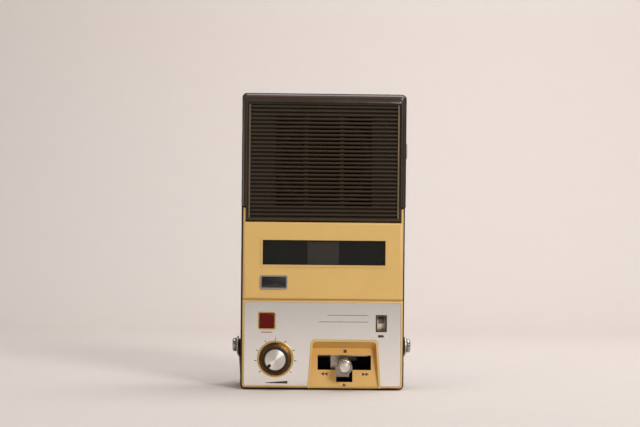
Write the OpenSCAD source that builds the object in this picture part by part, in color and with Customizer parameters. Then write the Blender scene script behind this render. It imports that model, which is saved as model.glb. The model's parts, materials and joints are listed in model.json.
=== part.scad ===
// Portable cassette recorder of the upright kind: a brown plastic case with a ribbed
// speaker grille above, a yellow cassette door in the middle and a brushed control
// panel below. It stands on its control end, and a strap handle swings behind it.
// Millimetres. +Z is up, the front faces -Y, and the origin is the centre of the base.

/* [Body] */
// Width of the case across its side walls
body_w = 133; // [129:1:145]
// Height of the case, standing on its control end
body_h = 240; // [236:1:260]
// Depth of the case from front face to back face
body_d = 64; // [62:1:76]
// Wall of the moulded case
wall = 2.5; // [2:0.1:3]
// Corner radius of the case seen from the front
case_corner_r = 4; // [3:0.5:6]
// Rounding of the case along its back edges
case_back_r = 5; // [3:0.5:8]
// Depth of the front mouldings that close the case
front_depth = 8; // [7.5:0.5:9]
// Case edge that shows beside the door and the lower frame
side_reveal = 1.5; // [0.6:0.1:2]
// Rounding of the front mouldings along their front edges
front_edge_r = 1.8; // [1:0.1:2]
// Rounding of the door along its two sides
door_side_r = 3; // [2:0.1:3.4]

/* [Speaker grille] */
// Height of a rib and the groove above it
rib_pitch = 3.24; // [2.8:0.02:4]
// Height of one rib
rib_h = 2.2; // [1.6:0.1:2.4]
// Side border between the case edge and the ribs
rib_side_margin = 7; // [6:0.5:12]
// Border above the ribs
rib_top_margin = 9; // [8:0.5:14]
// Border below the ribs
rib_bottom_margin = 3; // [2.5:0.5:6]
// Depth of the ribs
rib_depth = 1.8; // [1.2:0.1:2]
// Width of the part of the grille that is open behind the ribs
sound_w = 78; // [60:1:84]
// Height of the part of the grille that is open behind the ribs
sound_h = 72; // [56:1:76]
// Distance between the two posts behind the ribs
sound_post_pitch = 29; // [24:1:34]
// Width of a post behind the ribs
sound_post_w = 3.2; // [2:0.2:5]
// Radius of the loudspeaker
speaker_r = 38.5; // [30:0.5:40]

/* [Cassette door] */
// Height of the cassette door
door_h = 62.6; // [60:0.2:66]
// Thickness of the door's face
door_t = 2.4; // [2:0.1:2.8]
// Radius of the round hinge ears of the door
ear_r = 3.8; // [3.4:0.1:3.8]
// Thickness of a hinge ear
ear_t = 1.8; // [1.4:0.1:2.4]
// Height of the hinge axis above the door's top edge
hinge_rise = 8; // [7:0.5:10]
// Width of the window in the door
window_w = 99.4; // [80:0.2:104]
// Height of the window in the door
window_h = 20; // [14:0.5:24]
// Window, right of the middle
window_x = 0.7; // [-1:0.1:2]
// Height of the window's centre above the door's lower edge
window_rise = 38; // [32:0.5:42]
// Width of the bare plate on the door
plate_w = 22; // [14:1:28]
// Height of the bare plate on the door
plate_h = 11.1; // [8:0.1:14]

/* [Lower frame and panel] */
// Top edge of the lower frame
frame_top_z = 72.7; // [72:0.1:74]
// Gap between the lower frame and the door
door_gap = 0.6; // [0.5:0.1:1]
// Case edge that shows below the lower frame
base_reveal = 1.8; // [1.2:0.1:2.5]
// Border of the lower frame round the panel
frame_border = 1.6; // [1.2:0.1:2.2]
// Thickness of the brushed panel
panel_t = 1; // [0.6:0.1:1.2]
// Depth of the panel's face below the frame's face
panel_recess = 0.8; // [0.5:0.1:1]
// Thickness of the frame's web behind the panel
web_t = 2; // [1.5:0.1:2.5]

/* [Volume knob] */
// Volume knob, left of the middle
knob_x = -38; // [-42:0.5:-34]
// Volume knob, height above the base
knob_z = 25.1; // [22:0.1:28]
// Radius of the knob's skirt
knob_r = 13.2; // [11:0.1:14]
// Height of the knob above the panel
knob_h = 11; // [8:0.5:14]
// Radius of the knob's metal cap
cap_r = 8.25; // [6:0.25:9]
// Width of the gilt ring round the knob
ring_w = 1.3; // [1:0.1:2]

/* [Record button] */
// Record button, left of the middle
rec_x = -45.1; // [-48:0.1:-42]
// Record button, height above the base
rec_z = 56; // [54.5:0.1:57.5]
// Side of the square button
rec_size = 11.3; // [9:0.1:12]
// Width of the gilt surround
rec_border = 1.5; // [1:0.1:2]
// Travel of the button
rec_travel = 4; // [2:0.5:5]

/* [Battery meter] */
// Meter, right of the middle
meter_x = 47.6; // [44:0.1:50]
// Meter, height above the base
meter_z = 54.3; // [54:0.1:56]
// Width of the meter's bezel
meter_w = 9; // [8:0.1:11]
// Height of the meter's bezel
meter_h = 13.8; // [12:0.1:16]
// Border of the meter's bezel
meter_border = 1.2; // [0.8:0.1:1.6]

/* [Lever gate] */
// Lever, right of the middle
lever_x = 18; // [15:0.1:20]
// Width of the lever tray along its top edge
tray_w = 51.4; // [50:0.1:57]
// Amount by which the tray widens on each side towards the base
tray_flare = 2.5; // [1:0.1:4]
// Top edge of the lever tray
tray_top_z = 39.4; // [39:0.1:43]
// Depth of the tray at its top
tray_depth = 6; // [5:0.1:6.4]
// Width of the crossbar of the T-shaped slot
slot_w = 43.4; // [40:0.2:46]
// Height of the crossbar of the T-shaped slot
slot_h = 11.9; // [10:0.1:12]
// Lower edge of the slot's crossbar
slot_z = 16.3; // [16:0.1:18]
// Width of the slot's leg
leg_w = 13.2; // [11:0.1:14]
// Lower end of the slot's leg
leg_z = 6.6; // [6.5:0.1:8]
// Radius of the lever's chrome knob
lever_knob_r = 6.1; // [5:0.1:6.5]
// Length of the lever's chrome knob
lever_knob_l = 8; // [6:0.5:10]
// Radius of the lever's stem
stem_r = 2.2; // [1.6:0.1:2.6]
// Sideways travel of the lever
shift_travel = 16; // [12:0.5:17]

/* [Handle] */
// Height of the handle's pivots
pivot_z = 34.4; // [33:0.2:40]
// Distance from the pivots to the handle's crossbar
handle_reach = 58; // [56:0.5:70]
// Width of the handle's strap
strap_w = 9; // [7:0.5:11]
// Thickness of the handle's strap
strap_t = 1.5; // [1.2:0.1:2]
// Thickness of the spacers between the case and the handle
spacer_t = 2.1; // [1.8:0.1:3]
// Radius of the pivot heads
pivot_head_r = 5.65; // [4.5:0.05:6.5]
// Thickness of the pivot heads
pivot_head_t = 3.2; // [2:0.1:4]
// Radius of the pivot shanks
pivot_r = 2; // [1.6:0.1:2.4]
// Length of the grip on the crossbar
grip_l = 90; // [70:1:110]

/* [Tape deck] */
// Distance between the two reel spindles
spindle_pitch = 42.5; // [42:0.1:43]
// Width of the cassette well
well_w = 104; // [102:0.5:106]
// Height of the cassette well
well_h = 65; // [64.5:0.1:65.6]
// Depth from the door's front face to the deck plate
deck_depth = 17; // [16.5:0.1:18]
// Thickness of the steel deck plate
deck_t = 1.5; // [1.2:0.1:2]
// Radius of the flywheel
flywheel_r = 22; // [18:0.5:22.5]
// Radius of the capstan
capstan_r = 1.25; // [1:0.05:1.5]
// Radius of the motor
motor_r = 14.5; // [12:0.5:15.5]
// Radius of the motor's pulley
pulley_r = 3.5; // [2.5:0.1:5]
// Travel of the head plate
head_travel = 5; // [4:0.5:6]

/* [Power] */
// Radius of a battery cell
cell_r = 13.1; // [12.5:0.1:13.1]
// Length of a battery cell
cell_l = 50; // [49:0.5:50.5]

/* [Hidden] */
$fn = 48;

// Clearances: faces that lie together, loose covers, and pins that turn in their bores
face_gap = 0.3;
fit_gap = 0.15;
bore_gap = 0.05;

// Reference planes, from front to back
front_y = -body_d/2;
back_y = body_d/2;
rim_y = front_y + front_depth;
inner_back_y = back_y - wall;
inner_w = body_w - 2*wall;
moulding_w = body_w - 2*side_reveal;
moulding_back_y = rim_y - face_gap;
panel_y = front_y + panel_recess;
web_y = panel_y + panel_t;
web_back_y = web_y + web_t;

// Heights
door_z = frame_top_z + door_gap;
door_top_z = door_z + door_h;
door_top_gap = 0.4;
grille_z = door_top_z + door_top_gap;

// Grille
grille_bevel = 2;
grille_lip_rise = 1.3;
rib_y = front_y + 1;
grille_web_y = rib_y + rib_depth;
grille_web_t = 1;
grille_back_y = grille_web_y + grille_web_t;
rib_field_w = body_w - 2*rib_side_margin;
rib_field_z = grille_z + rib_bottom_margin;
rib_field_h = body_h - rib_top_margin - rib_field_z;
rib_count = floor(rib_field_h/rib_pitch);
sound_z = rib_field_z + rib_field_h/2;
rib_top_z = rib_field_z + rib_field_h;
rib_flat = 0.9;
rib_root = 0.5;
trim_w = 1.1;
trim_rise = 0.35;
trim_set = 0.2;
trim_x = rib_field_w/2 + trim_set;
bead_w = 2.4;
face_sunk = 0.5;
border_groove_w = 1.3;
border_groove_d = 0.9;
grille_face_y = front_y + face_sunk;

// Door hinge
hinge_y = front_y + ear_r;
hinge_z = door_top_z + hinge_rise;
hinge_pin_r = 1.4;
ear_x = moulding_w/2 - ear_t;
ear_notch_x = ear_x - face_gap;
ear_notch_z = hinge_z + ear_r + 0.5;
grille_cheek_x = ear_notch_x - wall;

// Door window
window_z = door_z + window_rise;
window_rim = 1.6;
window_rim_rise = 0.5;
window_rim_r = 0.8;
window_seat = 0.7;
window_flange = 2;
window_flange_t = 0.8;
door_inner_y = front_y + door_t;
leaf_w = 25.4;
leaf_t = 0.4;
leaf_foot = 2;
leaf_y = door_inner_y + window_flange_t + face_gap;

// Bare plate on the door
plate_x = -39.7;
plate_rise = 13.9;
plate_z = door_z + plate_rise;
plate_t = 1.2;
plate_rim = 0.9;
plate_r = 1.5;
plate_sunk = 0.5;

// Lower frame
frame_r = 3;
panel_w = moulding_w - 2*frame_border;
panel_z = base_reveal + frame_border;
panel_top_z = frame_top_z - frame_border;
panel_r = 1.8;
frame_wall = 2.2;

// Lever tray and slot
tray_wall = 1.4;
tray_bead = 0.3;
tray_r = 3;
tray_floor_t = 1.8;
tray_slope_h = 5.6;
tray_floor_y = front_y + tray_depth;
tray_foot_depth = 0.8;
tray_lip_depth = 0.5;
tray_foot_y = front_y + tray_foot_depth;
tray_lip_y = front_y + tray_lip_depth;
tray_offset = 25.9;
tray_x0 = lever_x - tray_offset;
tray_x1 = tray_x0 + tray_w;

// Lever, which turns on a cross shaft and slides along it
lever_axis_y = 6;
lever_axis_rise = 9.2;
lever_axis_z = slot_z + lever_axis_rise;
lever_tilt = 6.9;
shaft_r = 2.5;
hub_r = 5;
hub_w = 10;
collar_w = 6;
collar_r = 4.5;
arm_w = 7;
arm_t = 2.5;
arm_reach = 29;
shield_w = 11;
shield_tail = 19;
shield_t = 1.2;
shield_lip = 1.2;
shield_drop = 6.5;
tongue_w = 6.5;
tongue_right = 4.4;
tongue_drop = 12.3;
shield_rise = 6.5;
shield_bar = 1.5;
stem_in = 5;
knob_dish = 0.5;
knob_rim = 1.5;
knob_edge = 0.6;
knob_standoff = 5;
knob_start = lever_axis_y - panel_y + knob_standoff;
bracket_t = 1.5;
bracket_half_h = hub_r + 4;
bracket_back_y = lever_axis_y + hub_r + 2.5;
bracket_x0 = lever_x - hub_w/2 - face_gap - collar_w - shift_travel - 4;
bracket_x1 = lever_x + hub_w/2 + face_gap + collar_w + shift_travel + 4;

// Record button
rec_opening = rec_size + 2*face_gap;
rec_proud = 3;
rec_well_t = 1.2;
rec_well_depth = 13;
rec_well_back_y = web_back_y + rec_well_depth;
rec_plunger_r = 2;
rec_spring_r = 4.5;
rec_spring_bore = 3.4;
rec_spring_l = 5.5;
rec_switch_d = 9;
rec_surround_t = 1;
rec_edge_r = 0.8;

// Meter
drum_r = 9;
drum_pin_r = 0.8;
drum_half_angle = 35;
drum_y = web_back_y + drum_r + 0.7;
meter_case_w = 11;
meter_case_h = 18.6;
meter_case_t = 1;
meter_case_d = 14;
drum_w = 6;
flag_w = 4.4;
flag_t = 0.5;
drum_hub_r = 2.2;
meter_bezel_t = 0.9;
meter_lens_t = 0.8;

// Volume control
knob_base_gap = 0.5;
pot_r = 8.5;
pot_l = 9;
pot_shaft_r = 3;
pot_bush_r = 4.5;
pot_shaft_l = 4;
knob_foot = 1.6;
knob_lip = 1.3;
cap_t = 1;
cap_dome = 0.6;
ring_t = 1.2;
notch_l = 3.4;
notch_w = 1.8;
notch_d = 3;
rest_turn = 45;

// Handle
strap_in_x = body_w/2 + 0.7;
strap_out_x = body_w/2 + spacer_t;
strap_corner_r = 8;
joggle_start = 9;
joggle_end = 16;
eye_margin = 1.6;
pivot_edge = 1;
pivot_in = 3;
spacer_inset = 0.6;
grip_h = 9;
grip_w = 12;
grip_r = 4;
handle_rest = acos((pivot_z - grip_w/2 - face_gap)/handle_reach);

// Posts and screws that hold the case together
post_r = 4;
screw_r = 1.5;
screw_head_r = 2.9;
screw_head_t = 1.6;
screw_slot_d = 0.7;
screw_slot_w = 0.9;
post_inset_x = 9.5;
post_inset_z = 10;
post_front_y = rim_y + 4;
screw_tip_y = grille_back_y + 6;
deck_screw_l = 8;
case_posts = [
  [-body_w/2 + post_inset_x, post_inset_z], [body_w/2 - post_inset_x, post_inset_z],
  [-body_w/2 + post_inset_x, body_h - post_inset_z], [body_w/2 - post_inset_x, body_h - post_inset_z]
];

// Deck
deck_y = front_y + deck_depth;
deck_back_y = deck_y + deck_t;
deck_meter_gap = 0.4;
deck_z = meter_z + meter_case_h/2 + deck_meter_gap;
deck_w = inner_w - 4;
well_z = door_z + 0.2;
deck_top_z = well_z + well_h + 2;
well_t = 1.5;
well_sill = 8;
deck_bush_r = 3.5;
deck_bush_l = 1.5;
spindle_tip_h = 1.6;
spindle_fin = 1.3;
spindle_fin_t = 1;
supply_hub_r = 3;
well_front_y = door_inner_y + 1.8;
spindle_rise = 36;
spindle_z = well_z + spindle_rise;
spindle_table_r = 10;
spindle_table_t = 2.6;
spindle_r = 3;
spindle_tip_y = door_inner_y + 2.6;
spindle_shaft_r = 1.5;
capstan_x = 27.5;
capstan_rise = 7;
capstan_z = well_z + capstan_rise;
drive_y = deck_back_y + 0.6;
drive_t = 2;
capstan_hub_r = 5;
takeup_wheel_r = 11;
idler_span = norm([capstan_x - spindle_pitch/2, spindle_z - capstan_z]);
idler_r = (idler_span - capstan_hub_r - takeup_wheel_r)/2 - face_gap;
idler_along = (capstan_hub_r + idler_r + face_gap)/idler_span;
idler_x = capstan_x + (spindle_pitch/2 - capstan_x)*idler_along;
idler_z = capstan_z + (spindle_z - capstan_z)*idler_along;
flywheel_y = drive_y + drive_t + 0.6;
flywheel_t = 7;
groove_d = 1.5;
belt_t = 1.1;
belt_w = 3;
belt_steps = 32;
belt_y = flywheel_y + 2;
motor_x = -36;
motor_rise = 6;
motor_z = capstan_z + motor_rise;
motor_l = 26;
motor_shaft_r = 1;
motor_boss_r = 3.7;
motor_shaft_l = 7;
pulley_lip = 1.5;
bracket_y = flywheel_y + flywheel_t;
leg_r = 2.2;
bridge_y = flywheel_y + flywheel_t + 1;
bridge_t = 1.5;
bridge_reach = flywheel_r + 4;
bridge_end = 3;
bridge_half_h = 5.5;
motor_margin = 4;
deck_post_r = 3.5;
deck_post_inset = 4;
deck_post_drop = 5;
deck_post_lower = 6;
deck_posts = [
  for (sx = [-1, 1], dz = [-deck_post_drop, well_h - deck_post_lower])
    [sx*(deck_w/2 - deck_post_inset), well_z + dz]
];
motor_leg_set = motor_r + 1.5;
motor_legs = [for (sx = [-1, 1], sz = [-1, 1]) [motor_x + sx*motor_leg_set, motor_z + sz*motor_leg_set]];

// Head plate, heads and pinch roller
head_plate_y = deck_y - 1.8;
head_plate_t = 1.5;
head_top_z = well_z - 0.4;
head_plate_z = deck_z - 2;
head_reach = 11;
head_front_y = deck_y - head_reach;
head_plate_x0 = -30;
head_plate_end = 10;
head_plate_x1 = capstan_x + head_plate_end;
head_round = 2;
play_head_w = 12;
erase_head_x = -21.5;
erase_head_w = 9;
pinch_r = 5.5;
pinch_rest_z = capstan_z - capstan_r - pinch_r - face_gap - head_travel;
pinch_pin_r = 1.2;

// Loudspeaker
flange_y = grille_back_y;
flange_t = 1.4;
flange_w = 4.5;
basket_r = speaker_r - flange_w;
basket_t = 1.2;
basket_depth = 14;
basket_back_y = flange_y + basket_depth;
basket_bore_r = 7;
cone_t = 1;
cone_set = 0.4;
cone_lip = 0.8;
neck_inset = 3;
rim_inset = 2.5;
dust_cap_r = 7.5;
dust_cap_h = 2.4;
magnet_r = 16;
magnet_l = 10;

// Power
cell_pitch = 2*cell_r + 1.3;
cell_y = inner_back_y - 0.5 - cell_r;
tray_box_t = 1.5;
contact_room = 3.5;
tray_box_w = 2*cell_l + 2*contact_room + 2*tray_box_t;
tray_box_h = cell_pitch + 2*cell_r + 1 + 2*tray_box_t;
tray_box_y = cell_y - cell_r - 0.5 - tray_box_t;
battery_z = sound_z;
cell_heights = [battery_z - cell_pitch/2, battery_z + cell_pitch/2];
contact_t = 0.5;
contact_w = 12;
contact_d = 9;
contact_slack = 2;
nub_l = 1.8;
nub_r = 3;
lid_grip_r = 1.6;
lid_grip_l = 22;
lid_grip_drop = 9;
lid_w = tray_box_w - 2*tray_box_t - 2;
lid_h = tray_box_h - 2*tray_box_t - 0.4;
lid_r = 3;

// Jacks on the right side
jack_z = sound_z + 10.5;
jack_y = rim_y + 6.5;
jack_plate_h = 14.5;
jack_plate_w = 8;
jack_plate_t = 1.5;
jack_pitch = 6.6;
jack_heights = [jack_z - jack_pitch/2, jack_z + jack_pitch/2];
jack_plate_r = 2;
jack_r = 1.8;
jack_barrel_r = 3;
jack_l = 11;

// Circuit board
board_y = inner_back_y - 8;
board_t = 1.6;
board_z = 17;
board_h = 46;
board_margin = 6;
board_w = inner_w - 2*board_margin;
board_post_r = 2.5;
switch_half = 5;
cap_large_r = 4;
cap_large_h = 11;
cap_large_x = -20;
cap_small_r = 3;
cap_small_h = 8;
cap_small_x = -48;
can_size = 12;
can_h = 12;
can_places = [36, 52];
bracket_posts = [[bracket_x0 + 6, lever_axis_z], [bracket_x1 - 6, lever_axis_z]];
board_posts = [for (sx = [-1, 1], dz = [4, board_h - 4]) [sx*(board_w/2 - 5), board_z + dz]];

// Shared shapes. Outlines are drawn in the plane that the extrusion stands on.
module along_x(x0, x1) {
  translate([x0, 0, 0]) rotate([90, 0, 90]) linear_extrude(height = x1 - x0) children();
}
module along_y(y0, y1) {
  translate([0, y1, 0]) rotate([90, 0, 0]) linear_extrude(height = y1 - y0) children();
}
module along_z(z0, z1) {
  translate([0, 0, z0]) linear_extrude(height = z1 - z0) children();
}
module slab(x0, x1, y0, y1, z0, z1) {
  translate([x0, y0, z0]) cube([x1 - x0, y1 - y0, z1 - z0]);
}
module rod_x(r, x0, x1, y, z) {
  translate([x0, y, z]) rotate([0, 90, 0]) cylinder(r = r, h = x1 - x0);
}
module rod_y(r, y0, y1, x, z) {
  translate([x, y0, z]) rotate([-90, 0, 0]) cylinder(r = r, h = y1 - y0);
}
// Profile of radius against depth, turned about an axis along Y
module turned_y(x, z) {
  translate([x, 0, z]) rotate([-90, 0, 0]) rotate_extrude() children();
}
module both_sides() {
  children();
  mirror([1, 0, 0]) children();
}
// Rectangle about the origin with four round corners
module round_rect(w, h, r) {
  square([w - 2*r, h], center = true);
  square([w, h - 2*r], center = true);
  for (sx = [-1, 1], sy = [-1, 1]) translate([sx*(w/2 - r), sy*(h/2 - r)]) circle(r);
}
// Rectangle from (a0, b0) to (a1, b1) whose low-a corners are round
module soft_edge_rect(a0, a1, b0, b1, r) {
  translate([a0 + r, b0]) square([a1 - a0 - r, b1 - b0]);
  translate([a0, b0 + r]) square([a1 - a0, b1 - b0 - 2*r]);
  for (b = [b0 + r, b1 - r]) translate([a0 + r, b]) circle(r);
}
// Block whose front edges, towards -Y, are round
module soft_front_block(w, y0, y1, z0, z1, r) {
  intersection() {
    along_x(-w/2, w/2) soft_edge_rect(y0, y1, z0, z1, r);
    along_z(z0, z1) rotate(90) mirror([0, 1]) soft_edge_rect(y0, y1, -w/2, w/2, r);
  }
}

// Case
module case_outline(inset) {
  translate([0, body_h/2]) round_rect(body_w - 2*inset, body_h - 2*inset, case_corner_r - inset/2);
}
module rear_case_body() {
  difference() {
    intersection() {
      along_y(rim_y, back_y) case_outline(0);
      mirror([0, 1, 0]) soft_front_block(body_w, -back_y, -rim_y, 0, body_h, case_back_r);
    }
    along_y(rim_y - 1, inner_back_y) case_outline(wall);
  }
}
module rear_case() {
  color("#3c322a") difference() {
    union() {
      rear_case_body();
      for (p = case_posts) rod_y(post_r, post_front_y, inner_back_y + wall/2, p[0], p[1]);
      for (p = deck_posts) rod_y(deck_post_r, deck_back_y, inner_back_y + wall/2, p[0], p[1]);
      for (p = board_posts) rod_y(board_post_r, board_y + board_t, inner_back_y + wall/2, p[0], p[1]);
      for (p = bracket_posts) rod_y(board_post_r, bracket_back_y, inner_back_y + wall/2, p[0], p[1]);
    }
    for (p = case_posts) {
      rod_y(screw_r + face_gap, post_front_y - 1, back_y + 1, p[0], p[1]);
      rod_y(screw_head_r + face_gap, back_y - screw_head_t - fit_gap, back_y + 1, p[0], p[1]);
    }
    for (p = deck_posts)
      rod_y(screw_r + bore_gap, deck_back_y - 1, deck_back_y + deck_screw_l + 1, p[0], p[1]);
    along_y(inner_back_y - 1, back_y + 1) translate([0, battery_z]) round_rect(lid_w, lid_h, lid_r);
    rod_x(pivot_r + bore_gap, -body_w/2 - 1, body_w/2 + 1, 0, pivot_z);
    for (z = jack_heights) rod_x(jack_barrel_r + fit_gap, body_w/2 - wall - 1, body_w/2 + 1, jack_y, z);
  }
}
// Bores for the long screws in the posts of the front mouldings
module screw_bores() {
  for (p = case_posts) rod_y(screw_r + bore_gap, screw_tip_y - 1, post_front_y + 1, p[0], p[1]);
}
module case_fasteners() {
  color("#8a8a86") for (p = case_posts) {
    rod_y(screw_r, screw_tip_y, back_y - screw_head_t, p[0], p[1]);
    difference() {
      rod_y(screw_head_r, back_y - screw_head_t, back_y - fit_gap, p[0], p[1]);
      translate([p[0], back_y, p[1]])
        cube([2*screw_head_r + 1, 2*screw_slot_d, screw_slot_w], center = true);
    }
  }
}

// Speaker grille with blind ribs all over and open slots in the middle
module grille_block() {
  intersection() {
    along_y(front_y, rim_y) case_outline(0);
    soft_front_block(body_w, front_y, rim_y, grille_z - 10, body_h, grille_bevel);
    along_x(-body_w, body_w) polygon([
      [rim_y, grille_z], [door_inner_y + 0.2, grille_z], [front_y, grille_z + grille_lip_rise],
      [front_y, body_h + 1], [rim_y, body_h + 1]
    ]);
  }
}
// Face sunk inside the outer bead, and the groove beside each trim bar
module grille_face_cuts() {
  intersection() {
    along_y(front_y - 1, grille_face_y) case_outline(bead_w);
    slab(-body_w, body_w, front_y - 1, rim_y, grille_z - 1, body_h);
  }
  both_sides() slab(trim_x + trim_w, trim_x + trim_w + border_groove_w,
                    front_y - 1, grille_face_y + border_groove_d, rib_field_z, rib_top_z);
}
module sound_columns() {
  inner = (sound_post_pitch - sound_post_w)/2;
  outer = (sound_post_pitch + sound_post_w)/2;
  for (span = [[-sound_w/2, -outer], [-inner, inner], [outer, sound_w/2]])
    slab(span[0], span[1], grille_web_y, grille_back_y + 1, sound_z - sound_h/2, sound_z + sound_h/2);
}
// Ribs with a flat front edge and an underside that slants back towards the web
module rib_bars() {
  spare = (rib_field_h - (rib_count - 1)*rib_pitch - rib_h)/2;
  root_y = grille_web_y + grille_web_t/2;
  for (i = [0 : rib_count - 1])
    along_x(-rib_field_w/2 - 0.5, rib_field_w/2 + 0.5)
      translate([0, rib_field_z + spare + i*rib_pitch]) polygon([
        [rib_y, rib_h], [rib_y, rib_h - rib_flat], [grille_web_y - rib_root, 0], [root_y, 0], [root_y, rib_h]
      ]);
}
module speaker_grille() {
  color("#3c322a") difference() {
    union() {
      difference() {
        grille_block();
        grille_face_cuts();
        slab(-rib_field_w/2, rib_field_w/2, front_y - 1, grille_web_y,
             rib_field_z, rib_top_z);
        slab(-inner_w/2, inner_w/2, grille_back_y, rim_y + 1, ear_notch_z + wall, body_h - wall);
        slab(-grille_cheek_x, grille_cheek_x, grille_back_y, rim_y + 1,
             grille_z - 1, ear_notch_z + wall + 1);
        both_sides() slab(ear_notch_x, body_w, front_y - 1, rim_y + 1, grille_z - 1, ear_notch_z);
      }
      rib_bars();
      for (p = case_posts) if (p[1] > body_h/2)
        rod_y(post_r, grille_back_y - grille_web_t/2, post_front_y, p[0], p[1]);
    }
    difference() {
      sound_columns();
      rib_bars();
    }
    screw_bores();
    both_sides() rod_x(hinge_pin_r + bore_gap, grille_cheek_x - 0.5, body_w, hinge_y, hinge_z);
  }
}
module grille_trim() {
  color("#7d6a4a") both_sides() slab(trim_x, trim_x + trim_w, grille_face_y - trim_rise, grille_face_y,
                                     rib_field_z, rib_top_z);
}

// Cassette door, which swings up on two ears beside the grille
module window_rim_block() {
  along_y(front_y - window_rim_rise, front_y + window_seat) translate([window_x, window_z])
    round_rect(window_w + 2*window_rim, window_h + 2*window_rim, window_rim_r);
}
module window_cut() {
  along_y(front_y - window_rim_rise - 1, door_inner_y + 1) translate([window_x, window_z])
    square([window_w, window_h], center = true);
}
module hinge_ear() {
  difference() {
    union() {
      rod_x(ear_r, ear_x, moulding_w/2, hinge_y, hinge_z);
      slab(ear_x, moulding_w/2, front_y, hinge_y + ear_r, door_top_z - 3, hinge_z);
    }
    rod_x(hinge_pin_r + bore_gap, ear_x - 1, moulding_w, hinge_y, hinge_z);
  }
}
module cassette_door() {
  rear_y = hinge_y + ear_r;
  color("#d3ac67") difference() {
    union() {
      intersection() {
        union() {
          difference() {
            soft_front_block(moulding_w, front_y, rear_y, door_z, door_top_z, front_edge_r);
            slab(-ear_x, ear_x, door_inner_y, rim_y, door_z - 1, door_top_z + 1);
          }
          both_sides() hinge_ear();
        }
        along_z(door_z, hinge_z + ear_r) rotate(90) mirror([0, 1])
          soft_edge_rect(front_y, rear_y, -moulding_w/2, moulding_w/2, door_side_r);
      }
      window_rim_block();
    }
    window_cut();
  }
}
module door_hinge_pins() {
  color("silver") both_sides() rod_x(hinge_pin_r, grille_cheek_x, moulding_w/2 - fit_gap, hinge_y, hinge_z);
}
module door_window() {
  color("#24241f") {
    along_y(front_y + window_seat, door_inner_y + 0.01) translate([window_x, window_z])
      square([window_w - 2*fit_gap, window_h - 2*fit_gap], center = true);
    along_y(door_inner_y, door_inner_y + window_flange_t) translate([window_x, window_z])
      round_rect(window_w + 2*window_flange, window_h + 2*window_flange, 1);
  }
}
module door_leaf_spring() {
  reach = window_h/2 + window_flange + face_gap + leaf_foot;
  color("silver") {
    slab(-leaf_w/2, leaf_w/2, leaf_y, leaf_y + leaf_t, window_z - reach, window_z + reach);
    for (s = [-1, 1]) translate([0, 0, window_z + s*(reach - leaf_foot/2)])
      slab(-leaf_w/2, leaf_w/2, door_inner_y, leaf_y + leaf_t/2, -leaf_foot/2, leaf_foot/2);
  }
}
module door_plate() {
  color("#c9c9c6") translate([plate_x, 0, plate_z]) difference() {
    along_y(front_y - plate_t, front_y) round_rect(plate_w, plate_h, plate_r);
    along_y(front_y - plate_t - 1, front_y - plate_t + plate_sunk)
      round_rect(plate_w - 2*plate_rim, plate_h - 2*plate_rim, plate_r - 0.5);
  }
}

// Lower frame, with the lever tray moulded into it
module tray_outline(grow) {
  top = tray_top_z + grow;
  left = tray_x0 - grow;
  right = tray_x1 + grow;
  polygon([
    [left - tray_flare, 0], [right + tray_flare, 0], [right, top - tray_r],
    [right - tray_r, top], [left + tray_r, top], [left, top - tray_r]
  ]);
  for (x = [left + tray_r, right - tray_r]) translate([x, top - tray_r]) circle(tray_r);
}
module tray_floor_profile() {
  polygon([
    [tray_floor_y, tray_top_z - tray_slope_h], [tray_floor_y + tray_floor_t, tray_top_z - tray_slope_h],
    [tray_foot_y + tray_floor_t, base_reveal], [tray_foot_y, base_reveal]
  ]);
  polygon([
    [tray_lip_y, tray_top_z], [tray_floor_y, tray_top_z - tray_slope_h - 0.01],
    [tray_floor_y + tray_floor_t, tray_top_z - tray_slope_h - 0.01],
    [tray_floor_y + tray_floor_t, tray_top_z + tray_wall], [tray_lip_y, tray_top_z + tray_wall]
  ]);
}
module lever_tray() {
  difference() {
    union() {
      intersection() {
        along_y(front_y - tray_bead, tray_floor_y + tray_floor_t) difference() {
          tray_outline(tray_wall);
          tray_outline(0);
        }
        slab(-body_w, body_w, front_y - 1, rim_y + 1, base_reveal, body_h);
      }
      intersection() {
        along_x(-body_w/2, body_w/2) tray_floor_profile();
        along_y(front_y - 1, rim_y + 1) tray_outline(tray_wall/2);
      }
    }
    along_y(front_y - 1, rim_y + 4) {
      translate([lever_x - slot_w/2, slot_z]) square([slot_w, slot_h]);
      translate([lever_x - leg_w/2, leg_z]) square([leg_w, slot_z - leg_z + 0.1]);
    }
  }
}
module record_opening() {
  translate([rec_x, rec_z]) square(rec_opening, center = true);
}
module meter_opening(inset) {
  margin = 2*meter_border + 2*inset;
  translate([meter_x, meter_z]) square([meter_w - margin, meter_h - margin], center = true);
}
module record_well() {
  side = rec_opening + 2*rec_well_t;
  difference() {
    along_y(web_back_y - web_t/2, rec_well_back_y) translate([rec_x, rec_z]) square(side, center = true);
    along_y(web_back_y - web_t, rec_well_back_y - rec_well_t) record_opening();
    rod_y(rec_plunger_r + bore_gap, rec_well_back_y - rec_well_t - 1, rec_well_back_y + 1, rec_x, rec_z);
  }
}
module frame_block() {
  tall = frame_top_z - base_reveal;
  intersection() {
    soft_front_block(moulding_w, front_y, moulding_back_y, base_reveal, frame_top_z, front_edge_r);
    along_y(front_y, moulding_back_y) translate([0, base_reveal + tall])
      round_rect(moulding_w, 2*tall, frame_r);
  }
}
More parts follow.
